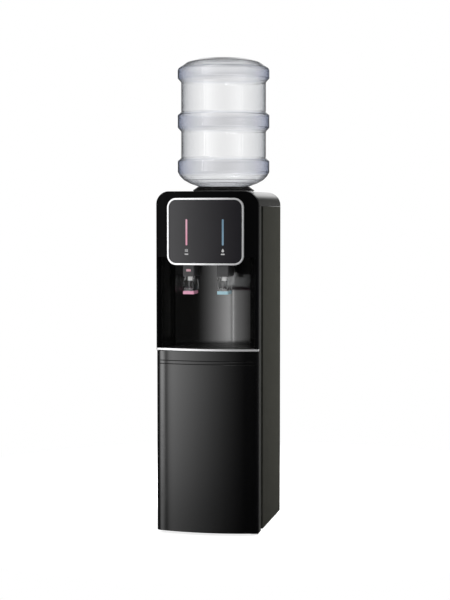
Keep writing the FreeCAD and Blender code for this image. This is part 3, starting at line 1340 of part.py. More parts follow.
# ---- All pieces ----
def save(name, shape):
    solids = shape if isinstance(shape, list) else [shape]
    moved = []
    for solid in solids:
        piece = solid.copy()
        piece.translate(Vector(0, -MIDDLE_Y, 0))
        moved += piece.Solids
    whole = moved[0] if len(moved) == 1 else Part.makeCompound(moved)
    assert all(solid.isValid() for solid in moved), name
    whole.exportStep("parts/" + name + ".step")
    size = whole.BoundBox
    print(f"{name:20s} {len(moved):3d} solids  {size.XLength:7.1f} {size.YLength:7.1f} {size.ZLength:7.1f}")


def main():
    os.makedirs("parts", exist_ok=True)
    side = make_right_side_panel()
    compressor = make_compressor()
    pieces = {
        "base_pan": make_base_pan(),
        "rubber_feet": make_rubber_feet(),
        "left_side_panel": mirrored(side),
        "right_side_panel": side,
        "corner_trims": make_corner_trims(),
        "rear_panel": make_rear_panel(),
        "rear_screws": make_rear_screws(),
        "top_cover": make_top_cover(),
        "front_fascia": make_front_fascia(),
        "waist_trim": make_waist_trim(),
        "niche_liner": make_niche_liner(),
        "drip_tray": make_drip_tray(),
        "drip_grille": make_drip_grille(),
        "storage_liner": make_storage_liner(),
        "door_skin": make_door_skin(),
        "door_liner": make_door_liner(),
        "catch_plate": make_catch_plate(),
        "catch_magnet": make_catch_magnet(),
        "door_pivots": make_door_pivots(),
        "panel_housing": make_panel_housing(),
        "panel_rim": make_panel_rim(),
        "panel_face": make_panel_face(),
        "hot_light_bar": make_light_bar(-BAR_X),
        "cold_light_bar": make_light_bar(BAR_X),
        "panel_marks": make_panel_marks(),
        "control_board": make_control_board(),
        "hot_tap_housing": make_tap_housing(-TAP_X, True),
        "cold_tap_housing": make_tap_housing(TAP_X, False),
        "tap_nozzles": [make_nozzle(-TAP_X), make_nozzle(TAP_X)],
        "hot_plunger": make_plunger(-TAP_X),
        "cold_plunger": make_plunger(TAP_X),
        "hot_lever": make_lever(-TAP_X),
        "cold_lever": make_lever(TAP_X),
        "hot_lever_bar": make_lever_bar(-TAP_X),
        "cold_lever_bar": make_lever_bar(TAP_X),
        "lever_pins": make_lever_pins(),
        "lever_springs": make_lever_springs(),
        "hot_lock_button": make_lock_button(-TAP_X),
        "water_bottle": make_water_bottle(),
        "bottle_cap": make_bottle_cap(),
        "bottle_seat": make_bottle_seat(),
        "seat_gasket": make_seat_gasket(),
        "feed_probe": make_feed_probe(),
        "cold_tank": make_cold_tank(),
        "tank_insulation": make_tank_insulation(),
        "hot_tank": make_hot_tank(),
        "heater_band": make_heater_band(),
        "tank_shelf": make_tank_shelf(),
        "silicone_tubes": make_silicone_tubes(),
        "drain_tube": make_drain_tube(),
        "drain_cap": make_drain_cap(),
        "compressor": compressor,
        "compressor_grommets": make_compressor_grommets(),
        "refrigerant_lines": make_refrigerant_lines(compressor),
        "condenser_coil": make_condenser_coil(),
        "condenser_wires": make_condenser_wires(),
        "switch_plate": make_switch_plate(),
        "hot_switch": make_rocker(SWITCH_XS[0]),
        "cold_switch": make_rocker(SWITCH_XS[1]),
        "cord_gland": make_cord_gland(),
    }
    for name, shape in pieces.items():
        save(name, shape)
    print(len(pieces), "nodes")


main()
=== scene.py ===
# %% [markdown]
# # A bottled water cooler, dressed for the studio
#
# The cooler comes from the workshop as sixty separate pieces: a bowed front, a door, two taps, tanks and a rack of
# cooling pipe. Some could be modelled again here with a finer mesh, but the workshop made them all in their final
# shape, down to the grooves in the door and the small printed marks. So every piece is kept, and this lesson only
# gives it the surface that it has on the real thing.

import math

import bmesh
import bpy
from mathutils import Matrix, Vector


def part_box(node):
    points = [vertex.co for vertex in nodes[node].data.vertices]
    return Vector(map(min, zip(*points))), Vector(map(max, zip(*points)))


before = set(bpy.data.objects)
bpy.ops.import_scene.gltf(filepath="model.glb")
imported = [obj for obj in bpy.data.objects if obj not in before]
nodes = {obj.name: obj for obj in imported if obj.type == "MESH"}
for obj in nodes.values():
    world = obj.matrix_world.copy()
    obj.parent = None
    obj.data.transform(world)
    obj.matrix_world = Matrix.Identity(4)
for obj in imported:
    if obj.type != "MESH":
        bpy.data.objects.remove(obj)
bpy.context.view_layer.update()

# %% [markdown]
# ## The camera
#
# A product photographer stands well back with a long lens, so that upright edges stay upright. The camera is almost
# five metres away, a little to the right of the cooler and level with the control panel. A 96 mm lens then fills the
# frame. Turning the camera, and not shifting its lens, keeps every other view as simple as this one.

# %% Stand the camera back with a long lens
CAMERA_PLACE = (0.9755, -4.671, 0.9417)
CAMERA_TURN = 0.2027        # radians to the left
CAMERA_DIP = 0.0567         # radians below level
LENS = 96.0

camera_data = bpy.data.cameras.new("studio_camera")
camera_data.lens = LENS
camera_data.sensor_width = 36.0
camera = bpy.data.objects.new("studio_camera", camera_data)
camera.location = CAMERA_PLACE
camera.rotation_euler = (math.pi / 2 - CAMERA_DIP, 0, CAMERA_TURN)
bpy.context.scene.collection.objects.link(camera)
bpy.context.scene.camera = camera
bpy.context.scene.view_settings.view_transform = "Standard"
print("camera at", tuple(round(v, 2) for v in CAMERA_PLACE), "lens", LENS)

# %% [markdown]
# ## Light from all round
#
# Gloss black plastic has hardly any colour of its own: what we see in it is the studio. A tall soft light stands far
# to the left, a wide dim one fills the front left, and the front right is almost dark. One way to get this is a row
# of lamps. Here the world itself is painted with that light by compass direction, because smooth black surfaces then
# mirror it without any hard lamp edge. Matt surfaces get one even light from all round, so that each colour looks as
# it is written, and what the camera sees directly or through the bottle is plain white.
#
# Light and finishes are both wired from shader nodes. Each link could be drawn on its own, but the same few moves
# come back all the time: a sum, a stretch of values, a choice between two. A short function for each comes first.

# %% Wire numbers and vectors


def plug(tree, value, socket):
    """Feeds an input from another socket, or sets it to a plain value."""
    if hasattr(value, "is_output"):
        tree.links.new(value, socket)
    else:
        socket.default_value = value


def maths(tree, operation, *values, clamp=False):
    """A Math node. Its values are sockets or numbers."""
    node = tree.nodes.new("ShaderNodeMath")
    node.operation = operation
    node.use_clamp = clamp
    for socket, value in zip(node.inputs, values):
        plug(tree, value, socket)
    return node.outputs[0]


def vector_maths(tree, operation, *values):
    """A Vector Math node. Its values are sockets or vectors, and it gives back its outputs, Vector and Value."""
    node = tree.nodes.new("ShaderNodeVectorMath")
    node.operation = operation
    for socket, value in zip(node.inputs, values):
        plug(tree, value, socket)
    return node.outputs


def choose(tree, factor, first, second):
    """The second value where the factor is 1, else the first. Each is a socket or a number."""
    node = tree.nodes.new("ShaderNodeMix")
    tree.links.new(factor, node.inputs["Factor"])
    plug(tree, first, node.inputs["A"])
    plug(tree, second, node.inputs["B"])
    return node.outputs["Result"]


def spread(tree, value, low, high, to_low=0.0, to_high=1.0, soft=False):
    """Stretches the values from low to high over another range, and clamps them. A soft one eases in and out."""
    node = tree.nodes.new("ShaderNodeMapRange")
    if soft:
        node.interpolation_type = "SMOOTHSTEP"
    ends = {"From Min": low, "From Max": high, "To Min": to_low, "To Max": to_high}
    for label, end in ends.items():
        node.inputs[label].default_value = end
    tree.links.new(value, node.inputs["Value"])
    return node.outputs["Result"]


def ramp(tree, share, stops, low, high):
    """A colour ramp through (position, brightness) stops, and the brightness that its white stands for."""
    node = tree.nodes.new("ShaderNodeValToRGB")
    elements = node.color_ramp.elements
    top = max(value for _, value in stops)
    while len(elements) < len(stops):
        elements.new(0.5)
    for element, (position, value) in zip(elements, stops):
        element.position = (position - low) / (high - low)
        element.color = (value / top, value / top, value / top, 1)
    tree.links.new(share, node.inputs[0])
    return node.outputs["Color"], top


print("helpers for numbers, vectors and ramps are ready")

# %% Paint the light by direction and height
SKY_STOPS = (               # compass direction in degrees, 0 straight ahead of the door, then brightness
    (-180, 0.05), (-110, 0.03), (-85, 0.1), (-66, 0.5), (-57, 0.9), (-50, 1.2), (-45, 1.6), (-42.9, 2.0),
    (-42.5, 6.0), (-41.2, 6.0), (-40.8, 1.1), (-39.4, 1.2), (-37.6, 2.8), (-35, 3.0), (-27, 2.3), (-17, 1.5),
    (-7, 0.85), (1, 0.45), (8, 0.2), (14, 0.05), (24, 0.03), (45, 0.03), (80, 0.04), (120, 0.06), (165, 0.1),
    (180, 0.05),
)
HEIGHT_STOPS = (            # degrees above level, then how strongly that height counts
    (-90, 0.2), (-15, 0.3), (-11.3, 0.37), (-10.6, 0.46), (-8.8, 0.76), (-7, 0.98), (-6, 1.13), (-4, 1.15),
    (-2, 1.0), (2, 0.95), (14, 0.7), (28, 1.1), (50, 1.7), (90, 1.7),
)

world = bpy.data.worlds.new("studio")
bpy.context.scene.world = world
world.use_nodes = True
sky = world.node_tree
sky.nodes.clear()
direction = sky.nodes.new("ShaderNodeTexCoord").outputs["Generated"]
parts = sky.nodes.new("ShaderNodeSeparateXYZ")
sky.links.new(direction, parts.inputs[0])
toward_viewer = maths(sky, "MULTIPLY", parts.outputs["Y"], -1)
compass = maths(sky, "ARCTAN2", parts.outputs["X"], toward_viewer)
compass_share = maths(sky, "MULTIPLY_ADD", compass, 1 / (2 * math.pi), 0.5)
around, brightest = ramp(sky, compass_share, SKY_STOPS, -180, 180)
rise = maths(sky, "ARCSINE", parts.outputs["Z"])
rise_share = maths(sky, "MULTIPLY_ADD", rise, 1 / math.pi, 0.5)
upward, highest = ramp(sky, rise_share, HEIGHT_STOPS, -90, 90)
around_light = maths(sky, "MULTIPLY", around, brightest)
painted = maths(sky, "MULTIPLY", around_light, upward)
painted = maths(sky, "MULTIPLY", painted, highest)
print("light stops:", len(SKY_STOPS), "brightest:", brightest)

# %% Add a glow behind and a pale ceiling
BACK_GLOW = 1.0             # a soft patch low behind the cooler, which the rounded shoulder mirrors
BACK_GLOW_WAY = Vector((-0.16, 0.96, 0.22))
BACK_GLOW_EDGES = (0.962, 0.992)    # cosines at its rim and where it is full
CEILING = 0.9               # an even pale ceiling, which the bottle's dome gathers
CEILING_RISE = (30, 60)     # degrees above level where it starts and where it is full

toward_glow = vector_maths(sky, "DOT_PRODUCT", direction, BACK_GLOW_WAY.normalized())["Value"]
glow = spread(sky, toward_glow, *BACK_GLOW_EDGES, to_high=BACK_GLOW, soft=True)
painted = maths(sky, "ADD", painted, glow)
rise_degrees = maths(sky, "MULTIPLY", rise, 180 / math.pi)
ceiling = spread(sky, rise_degrees, *CEILING_RISE, to_high=CEILING, soft=True)
painted = maths(sky, "ADD", painted, ceiling)
print("glow toward", tuple(round(v, 2) for v in BACK_GLOW_WAY), "ceiling from", CEILING_RISE[0], "degrees up")

# %% Share the light among mirror rays, matt surfaces and the camera
EVEN_LIGHT = 0.8            # what matt surfaces get from every direction
WHITE = 1.0                 # what the camera sees behind the cooler

path = sky.nodes.new("ShaderNodeLightPath").outputs
unmirrored = maths(sky, "LESS_THAN", path["Glossy Depth"], 1.0)
clear_view = maths(sky, "MULTIPLY", path["Is Transmission Ray"], unmirrored)
seen_white = maths(sky, "ADD", path["Is Camera Ray"], clear_view, clamp=True)
mirrored = maths(sky, "SUBTRACT", 1.0, unmirrored)
strength = choose(sky, mirrored, EVEN_LIGHT, painted)
strength = choose(sky, seen_white, strength, WHITE)
background = sky.nodes.new("ShaderNodeBackground")
background.inputs["Color"].default_value = (1, 1, 1, 1)
sky.links.new(strength, background.inputs["Strength"])
world_out = sky.nodes.new("ShaderNodeOutputWorld")
sky.links.new(background.outputs[0], world_out.inputs[0])
print("even light:", EVEN_LIGHT, "white:", WHITE)

# %% [markdown]
# ## The floor
#
# The cooler stands on a pale studio floor that runs out into white. A curved backdrop would do it too, but a disc is
# enough. Near its rim it shows the camera plain white, so that no edge is seen, and under the cooler it still takes
# a soft shadow. Mirror rays pass through it, because the foot of the gloss black door fades to dark and shows no
# floor.

# %% Start a material


def new_material(name):
    """An empty material, with its node tree and its output node."""
    material = bpy.data.materials.new(name)
    material.use_nodes = True
    tree = material.node_tree
    tree.nodes.clear()
    return material, tree, tree.nodes.new("ShaderNodeOutputMaterial")


def mix_shaders(tree, factor, first, second):
    """A Mix Shader of two shader nodes, with the second where the factor is 1."""
    node = tree.nodes.new("ShaderNodeMixShader")
    tree.links.new(factor, node.inputs["Fac"])
    tree.links.new(first.outputs[0], node.inputs[1])
    tree.links.new(second.outputs[0], node.inputs[2])
    return node


def object_coords(tree):
    """Where a point lies in its own piece, in metres."""
    return tree.nodes.new("ShaderNodeTexCoord").outputs["Object"]


print("helpers for materials are ready")

# %% Make the floor's surface
FLOOR_FADE = (0.55, 1.25)   # metres from its centre where it starts to turn white and where it is white
FLOOR_TONE = (0.8, 0.8, 0.8, 1)
FLOOR_ROUGH = 0.8
FLOOR_LIFT = 0.8            # glow of its own for the camera, which leaves only a faint shadow


def pale_floor():
    material, tree, out = new_material("pale_floor")
    distance = vector_maths(tree, "LENGTH", object_coords(tree))["Value"]
    far = spread(tree, distance, *FLOOR_FADE)
    ray = tree.nodes.new("ShaderNodeLightPath").outputs
    shader = tree.nodes.new("ShaderNodeBsdfPrincipled")
    shader.inputs["Base Color"].default_value = FLOOR_TONE
    shader.inputs["Roughness"].default_value = FLOOR_ROUGH
    shader.inputs["Emission Color"].default_value = (1, 1, 1, 1)
    tree.links.new(maths(tree, "MULTIPLY", ray["Is Camera Ray"], FLOOR_LIFT), shader.inputs["Emission Strength"])
    white = tree.nodes.new("ShaderNodeEmission")
    in_view = maths(tree, "ADD", ray["Is Camera Ray"], ray["Is Transmission Ray"], clamp=True)
    shown = mix_shaders(tree, maths(tree, "MULTIPLY", far, in_view), shader, white)
    gone = tree.nodes.new("ShaderNodeBsdfTransparent")
    mirrored = maths(tree, "SUBTRACT", ray["Is Glossy Ray"], ray["Is Transmission Ray"], clamp=True)
    unseen = mix_shaders(tree, mirrored, shown, gone)
    tree.links.new(unseen.outputs[0], out.inputs["Surface"])
    return material


floor_material = pale_floor()
print("floor material:", floor_material.name)

# %% Lay the floor
FLOOR_R = 1.5
FLOOR_CENTRE = (0.0, 0.45, 0.0)
FLOOR_SIDES = 96


def lay_floor(material):
    disc = bmesh.new()
    bmesh.ops.create_circle(disc, cap_ends=True, segments=FLOOR_SIDES, radius=FLOOR_R)
    mesh = bpy.data.meshes.new("studio_floor")
    disc.to_mesh(mesh)
    disc.free()
    mesh.materials.append(material)
    floor = bpy.data.objects.new("studio_floor", mesh)
    floor.location = FLOOR_CENTRE
    bpy.context.scene.collection.objects.link(floor)


lay_floor(floor_material)
print("floor radius:", FLOOR_R)

# %% [markdown]
# ## The soft boxes
#
# Two lamps help the painted light. A large one above and behind casts the soft shadow on the floor. A tall one beside
# the back makes the side grow lighter toward it. The world could be painted brighter there, but only a lamp that
# stands close fades along one panel. Mirror rays and rays through the bottle miss both lamps, so that neither shows.

# %% Hang the soft boxes
SOFT_BOXES = (              # name, place, aims at, width, height, watts
    ("top_box", (0.3, 0.6, 3.0), (0, 0, 1.0), 1.6, 1.2, 22.0),
    ("side_box", (0.75, 0.32, 0.6), (0.0, 0.32, 0.6), 0.3, 1.4, 13.0),
)


def hang_soft_box(name, place, aim, width, height, watts):
    """A rectangular lamp that only matt surfaces see."""
    lamp = bpy.data.lights.new(name, "AREA")
    lamp.shape = "RECTANGLE"
    lamp.size = width
    lamp.size_y = height
    lamp.energy = watts
    holder = bpy.data.objects.new(name, lamp)
    holder.location = place
    holder.rotation_euler = (Vector(aim) - Vector(place)).to_track_quat("-Z", "Y").to_euler()
    holder.visible_glossy = False
    holder.visible_transmission = False
    bpy.context.scene.collection.objects.link(holder)


for box in SOFT_BOXES:
    hang_soft_box(*box)
    print("soft box:", box[0], box[5], "watts")

# %% [markdown]
# ## Shared surface effects
#
# Four effects turn up on many finishes: the fine grain of a mould or a coat, faint marks of handling, dust that
# settles on what faces up, and edges that are rubbed a little. On the gloss black fascia, door and niche the same
# edge effect is turned up into a painted highlight along the edges. They could be wired again in every material.
# Instead each is a node group with named sockets, built once and placed in each material with its own numbers.

# %% Start a node group


def start_group(name, inputs, outputs):
    """A node group with (name, socket type, default) inputs and (name, socket type) outputs."""
    group = bpy.data.node_groups.new(name, "ShaderNodeTree")
    for label, kind, default in inputs:
        socket = group.interface.new_socket(label, in_out="INPUT", socket_type=kind)
        socket.default_value = default
    for label, kind in outputs:
        group.interface.new_socket(label, in_out="OUTPUT", socket_type=kind)
    return group, group.nodes.new("NodeGroupInput"), group.nodes.new("NodeGroupOutput")


def noise(tree, coords, scale, detail=3.0, rough=0.55):
    """A noise texture's value. The scale is a socket or a number, in features per metre."""
    node = tree.nodes.new("ShaderNodeTexNoise")
    node.inputs["Detail"].default_value = detail
    node.inputs["Roughness"].default_value = rough
    tree.links.new(coords, node.inputs["Vector"])
    plug(tree, scale, node.inputs["Scale"])
    return node.outputs["Fac"]


def cloudy(tree, coords, scale, low, high, detail=3.0, rough=0.55, to_low=0.0):
    """Noise, stretched so that its values from low to high run from to_low to 1."""
    return spread(tree, noise(tree, coords, scale, detail, rough), low, high, to_low)


def give_mask(group, entry, leave, mask):
    """Scales a mask by the group's Amount and puts it out."""
    group.links.new(maths(group, "MULTIPLY", mask, entry.outputs["Amount"], clamp=True), leave.inputs["Mask"])


print("helpers for node groups are ready")

# %% Build the fine grain
FLOAT = "NodeSocketFloat"
BROAD_SHARE = 0.02          # the tone changes in patches fifty times as wide as the grain


def build_fine_grain():
    outputs = [("Height", FLOAT), ("Tone", FLOAT)]
    group, entry, leave = start_group("fine_grain", [("Scale", FLOAT, 900.0)], outputs)
    coords = object_coords(group)
    fine = noise(group, coords, entry.outputs["Scale"], detail=2.0, rough=0.6)
    broad_scale = maths(group, "MULTIPLY", entry.outputs["Scale"], BROAD_SHARE)
    group.links.new(fine, leave.inputs["Height"])
    broad = cloudy(group, coords, broad_scale, low=0.3, high=0.7, detail=4.0, rough=0.6)
    group.links.new(broad, leave.inputs["Tone"])
    return group


fine_grain = build_fine_grain()
print("group:", fine_grain.name)

# %% Build the handling marks


def build_handling_marks():
    group, entry, leave = start_group("handling_marks", [("Amount", FLOAT, 0.5)], [("Mask", FLOAT)])
    coords = object_coords(group)
    patches = cloudy(group, coords, scale=9.0, low=0.5, high=0.72)
    ridges = cloudy(group, coords, scale=160.0, low=0.35, high=0.7, detail=5.0, rough=0.7)
    give_mask(group, entry, leave, maths(group, "MULTIPLY", patches, ridges))
    return group


handling_marks = build_handling_marks()
print("group:", handling_marks.name)

# %% Build the settled dust


def build_settled_dust():
    group, entry, leave = start_group("settled_dust", [("Amount", FLOAT, 0.3)], [("Mask", FLOAT)])
    coords = object_coords(group)
    facing = group.nodes.new("ShaderNodeSeparateXYZ")
    group.links.new(group.nodes.new("ShaderNodeNewGeometry").outputs["Normal"], facing.inputs[0])
    faces_up = spread(group, facing.outputs["Z"], low=0.35, high=0.95)
    specks = cloudy(group, coords, scale=700.0, low=0.45, high=0.75, detail=4.0, rough=0.8)
    clouds = cloudy(group, coords, scale=22.0, low=0.3, high=0.75, detail=4.0, to_low=0.3)
    give_mask(group, entry, leave, maths(group, "MULTIPLY", maths(group, "MULTIPLY", faces_up, specks), clouds))
    return group


settled_dust = build_settled_dust()
print("group:", settled_dust.name)

# %% Build the edge wear and painted edge highlight
# The same edge mask is light wear on most finishes, and a painted highlight along the edges of the gloss black
# fascia, door and niche.
EDGE_TURN = (0.995, 0.9)    # cosines of the turn at an edge where the rub starts and where it is full


def build_edge_wear_and_highlight():
    inputs = [("Radius", FLOAT, 0.0015), ("Amount", FLOAT, 0.5)]
    group, entry, leave = start_group("edge_wear_and_highlight", inputs, [("Mask", FLOAT)])
    coords = object_coords(group)
    rounded = group.nodes.new("ShaderNodeBevel")
    rounded.samples = 4
    group.links.new(entry.outputs["Radius"], rounded.inputs["Radius"])
    flat = group.nodes.new("ShaderNodeNewGeometry")
    match = vector_maths(group, "DOT_PRODUCT", rounded.outputs["Normal"], flat.outputs["Normal"])["Value"]
    turned = spread(group, match, *EDGE_TURN)
    broken = cloudy(group, coords, scale=120.0, low=0.35, high=0.65, detail=4.0, rough=0.7, to_low=0.2)
    give_mask(group, entry, leave, maths(group, "MULTIPLY", turned, broken))
    return group


edge_wear_and_highlight = build_edge_wear_and_highlight()
print("group:", edge_wear_and_highlight.name)

# %% [markdown]
# ## One recipe for moulded, coated and metal surfaces
#
# The four effects always meet the shader in the same way: the grain makes a faint bump and shifts the tone, the marks
# change the roughness, the dust covers the colour and the rubbed edges lighten it, a little as wear and, on the gloss
# black mouldings, several times over as a painted edge highlight. Wiring each material by hand would allow more
# variety than the cooler needs. One function does it, and each finish is then a line of numbers.

# %% Place a group, blend colours and raise the grain


def place_group(tree, group, **values):
    """A shared effect, placed with its own values."""
    node = tree.nodes.new("ShaderNodeGroup")
    node.node_tree = group
    for label, value in values.items():
        node.inputs[label].default_value = value
    return node


def blend_colours(tree, factor, first, second):
    """Mixes two colours, each a socket or an (r, g, b, 1) value."""
    node = tree.nodes.new("ShaderNodeMix")
    node.data_type = "RGBA"
    tree.links.new(factor, node.inputs[0])
    plug(tree, first, node.inputs[6])
    plug(tree, second, node.inputs[7])
    return node.outputs[2]


def raise_grain(tree, shader, height, strength, distance):
    """Feeds a grain's height to the shader's normal as a faint bump."""
    bump = tree.nodes.new("ShaderNodeBump")
    bump.inputs["Strength"].default_value = strength
    bump.inputs["Distance"].default_value = distance
    tree.links.new(height, bump.inputs["Height"])
    tree.links.new(bump.outputs["Normal"], shader.inputs["Normal"])


def shade(colour, factor):
    """A colour made lighter or darker, as (r, g, b, 1)."""
    return tuple(min(1.0, c * factor) for c in colour[:3]) + (1,)


print("a mid grey made lighter:", shade((0.5, 0.5, 0.5), 1.2))

# %% Wire the recipe
DUST_COLOUR = (0.45, 0.43, 0.4, 1)
DUST_DULLS = 0.5            # roughness that full dust adds
MARKS_DULL = 0.22           # roughness that full marks add
GRAIN_HEIGHT = 0.0005       # metres


def finish(name, colour, rough, grain=900.0, depth=0.02, tone=0.12, marks=0.4, dust=0.25, rub=0.3, rub_and_highlight_to=1.8,
           rub_radius=0.0015, metal=0.0, **fixed):
    """A moulded, coated or metal finish. Extra keywords name other sockets of the shader, with _ for a space."""
    material, tree, out = new_material(name)
    base = (*colour, 1)
    grains = place_group(tree, fine_grain, Scale=grain)
    marked = place_group(tree, handling_marks, Amount=marks)
    dusty = place_group(tree, settled_dust, Amount=dust)
    worn_and_highlit = place_group(tree, edge_wear_and_highlight, Radius=rub_radius, Amount=rub)
    body = blend_colours(tree, grains.outputs["Tone"], shade(base, 1 - tone), shade(base, 1 + tone))
    # The edge mask lightens the colour: a little as wear, and several times over on gloss black as a painted edge
    # highlight.
    body = blend_colours(tree, worn_and_highlit.outputs["Mask"], body, shade(base, rub_and_highlight_to))
    body = blend_colours(tree, dusty.outputs["Mask"], body, DUST_COLOUR)
    shader = tree.nodes.new("ShaderNodeBsdfPrincipled")
    tree.links.new(body, shader.inputs["Base Color"])
    smeared = maths(tree, "MULTIPLY_ADD", marked.outputs["Mask"], MARKS_DULL, rough)
    dulled = maths(tree, "MULTIPLY_ADD", dusty.outputs["Mask"], DUST_DULLS, smeared)
    tree.links.new(dulled, shader.inputs["Roughness"])
    shader.inputs["Metallic"].default_value = metal
    raise_grain(tree, shader, grains.outputs["Height"], depth, GRAIN_HEIGHT)
    for label, value in fixed.items():
        shader.inputs[label.replace("_", " ")].default_value = value
    tree.links.new(shader.outputs[0], out.inputs["Surface"])
    return material


def dress(material, *names):
    """Gives the named workshop pieces a finish."""
    for name in names:
        for slot in nodes[name].material_slots:
            slot.material = material


print("the recipe is ready")

# %% [markdown]
# ## The cabinet
#
# The front is one glossy black moulding, the door another. The sides are thin steel with a dark, faintly olive powder
# coat, and a strip of textured plastic covers the corner between them. One black for all of them would be simpler,
# but side by side they differ in how sharply they mirror the studio, so each has its own line of numbers.

# %% Dress the cabinet
# The fascia's and the door's edges are lightened four and six times over: a painted highlight along their rounded
# edges, not wear.
fascia_black = finish("piano_black_fascia", (0.003, 0.003, 0.0033), 0.14, grain=500, depth=0.006, marks=0.25,
                      dust=0.1, rub=0.15, rub_and_highlight_to=4.0, Specular_IOR_Level=0.02)
door_black = finish("satin_black_door", (0.0016, 0.0016, 0.0018), 0.06, grain=500, depth=0.006, marks=0.25,
                    dust=0.15, rub=0.15, rub_and_highlight_to=6.0)
cover_black = finish("gloss_black_cover", (0.02, 0.02, 0.018), 0.12, grain=900, depth=0.02, marks=0.3, dust=0.25)
powder_coat = finish("olive_black_powder_coat", (0.022, 0.022, 0.018), 0.45, grain=2200, depth=0.35, tone=0.1,
                     marks=0.3, Specular_IOR_Level=0.15)
moulded_black = finish("textured_black_plastic", (0.034, 0.034, 0.032), 0.45, grain=3000, depth=0.3,
                       Specular_IOR_Level=0.15)
galvanised = finish("galvanised_sheet", (0.42, 0.43, 0.44), 0.45, grain=300, depth=0.05, tone=0.2, metal=0.8)
dress(fascia_black, "front_fascia")
dress(door_black, "door_skin")
dress(cover_black, "top_cover")
dress(powder_coat, "left_side_panel", "right_side_panel", "rear_panel")
dress(moulded_black, "corner_trims")
dress(galvanised, "base_pan", "tank_shelf")
print("finishes:", len(bpy.data.materials))

# %% [markdown]
# ## The niche, the tray and the silver line
#
# The niche is a satin black moulding, and its tray a duller one. A silver line of plated plastic runs across the
# front below them, and the same plating frames the panel. Full metal would mirror the dark side of the studio and
# turn grey, so the plating is metal only in part and keeps its pale colour. The cupboard behind the door is plain
# light grey.

# %% Dress the niche, the tray and the silver line
# The niche's edges are lightened five times over: a painted highlight along its edges.
niche_black = finish("satin_black_niche", (0.0038, 0.0038, 0.0038), 0.1, grain=900, depth=0.01, marks=0.4,
                     dust=0.3, rub_and_highlight_to=5.0, Specular_IOR_Level=1.0)
tray_black = finish("black_tray_plastic", (0.012, 0.012, 0.012), 0.3, grain=1500, depth=0.08, dust=0.3)
silver = finish("bright_silver", (0.86, 0.86, 0.87), 0.3, grain=700, depth=0.01, tone=0.04, marks=0.5, dust=0.1,
                rub=0.0, metal=0.65)
store_grey = finish("moulded_light_grey", (0.6, 0.61, 0.61), 0.4, grain=1800, depth=0.15, tone=0.05, rub_and_highlight_to=1.1)
dress(niche_black, "niche_liner")
dress(tray_black, "drip_tray", "drip_grille")
dress(silver, "waist_trim", "panel_rim")
dress(store_grey, "storage_liner", "door_liner")
print("finishes:", len(bpy.data.materials))

# %% [markdown]
# ## The control panel
#
# The panel is a glossy black screen in a bright frame. Two upright light guides show that the heater and the cooler
# are on, and small printed marks stand below them. The guides could be small lamps, but they light nothing around
# them, so a faint glow in their own material is enough.

# %% Dress the screen, the marks and the board behind
screen_black = finish("screen_black", (0.0135, 0.0125, 0.0155), 0.14, grain=400, depth=0.003, marks=0.35, dust=0.05,
                      rub=0.0, Specular_IOR_Level=0.3)
printed_mark = finish("printed_mark", (0.6, 0.6, 0.6), 0.5, grain=4000, depth=0.05, rub=0.0)
board_green = finish("board_green", (0.03, 0.16, 0.07), 0.4, grain=600, depth=0.1)
dress(screen_black, "panel_face")
dress(moulded_black, "panel_housing")
dress(printed_mark, "panel_marks")
dress(board_green, "control_board")
print("finishes:", len(bpy.data.materials))

# %% Light the two guides
GUIDE_GLOW = 0.75
GUIDE_ROUGH = 0.25
GUIDE_RIM = 0.35            # how far the deep colour reaches in from the rim


def light_guide(name, deep, pale):
    """A lit acrylic strip, deep at its rim and paler along its middle, that hardly mirrors."""
    material, tree, out = new_material(name)
    edge = tree.nodes.new("ShaderNodeLayerWeight")
    edge.inputs["Blend"].default_value = GUIDE_RIM
    grains = place_group(tree, fine_grain, Scale=600.0)
    middle = blend_colours(tree, grains.outputs["Tone"], deep, pale)
    glow = blend_colours(tree, edge.outputs["Facing"], middle, deep)
    unlit = blend_colours(tree, grains.outputs["Tone"], deep, shade(deep, 0.6))
    shader = tree.nodes.new("ShaderNodeBsdfPrincipled")
    tree.links.new(unlit, shader.inputs["Base Color"])
    tree.links.new(glow, shader.inputs["Emission Color"])
    shader.inputs["Emission Strength"].default_value = GUIDE_GLOW
    shader.inputs["Roughness"].default_value = GUIDE_ROUGH
    tree.links.new(shader.outputs[0], out.inputs["Surface"])
    return material


red_guide = light_guide("lit_red_guide", (0.4, 0.16, 0.22, 1), (0.6, 0.36, 0.44, 1))
blue_guide = light_guide("lit_blue_guide", (0.07, 0.13, 0.18, 1), (0.22, 0.34, 0.44, 1))
dress(red_guide, "hot_light_bar")
dress(blue_guide, "cold_light_bar")
print("finishes:", len(bpy.data.materials))

# %% [markdown]
# ## The taps
#
# Each tap is a black block with a white nozzle and a clear cradle that a cup pushes back. The cradle is moulded in
# acrylic and carries a coloured band, pink for hot and blue for cold. Acrylic rendered as plain glass casts a dark
# shadow on what it holds. So the light for matt surfaces passes straight through it here, and only what we look at
# is bent.

# %% Make the clear plastic
FLOW_HEIGHT = 0.001         # metres
CLEAR_MARKS_DULL = 0.15     # roughness that full marks add


def even_tint(colour):
    """A clear plastic's tint that hardly changes over its surface."""
    base = (*colour, 1)

    def tint(tree, grains):
        return blend_colours(tree, grains.outputs["Tone"], shade(base, 0.98), shade(base, 1.02))

    return tint


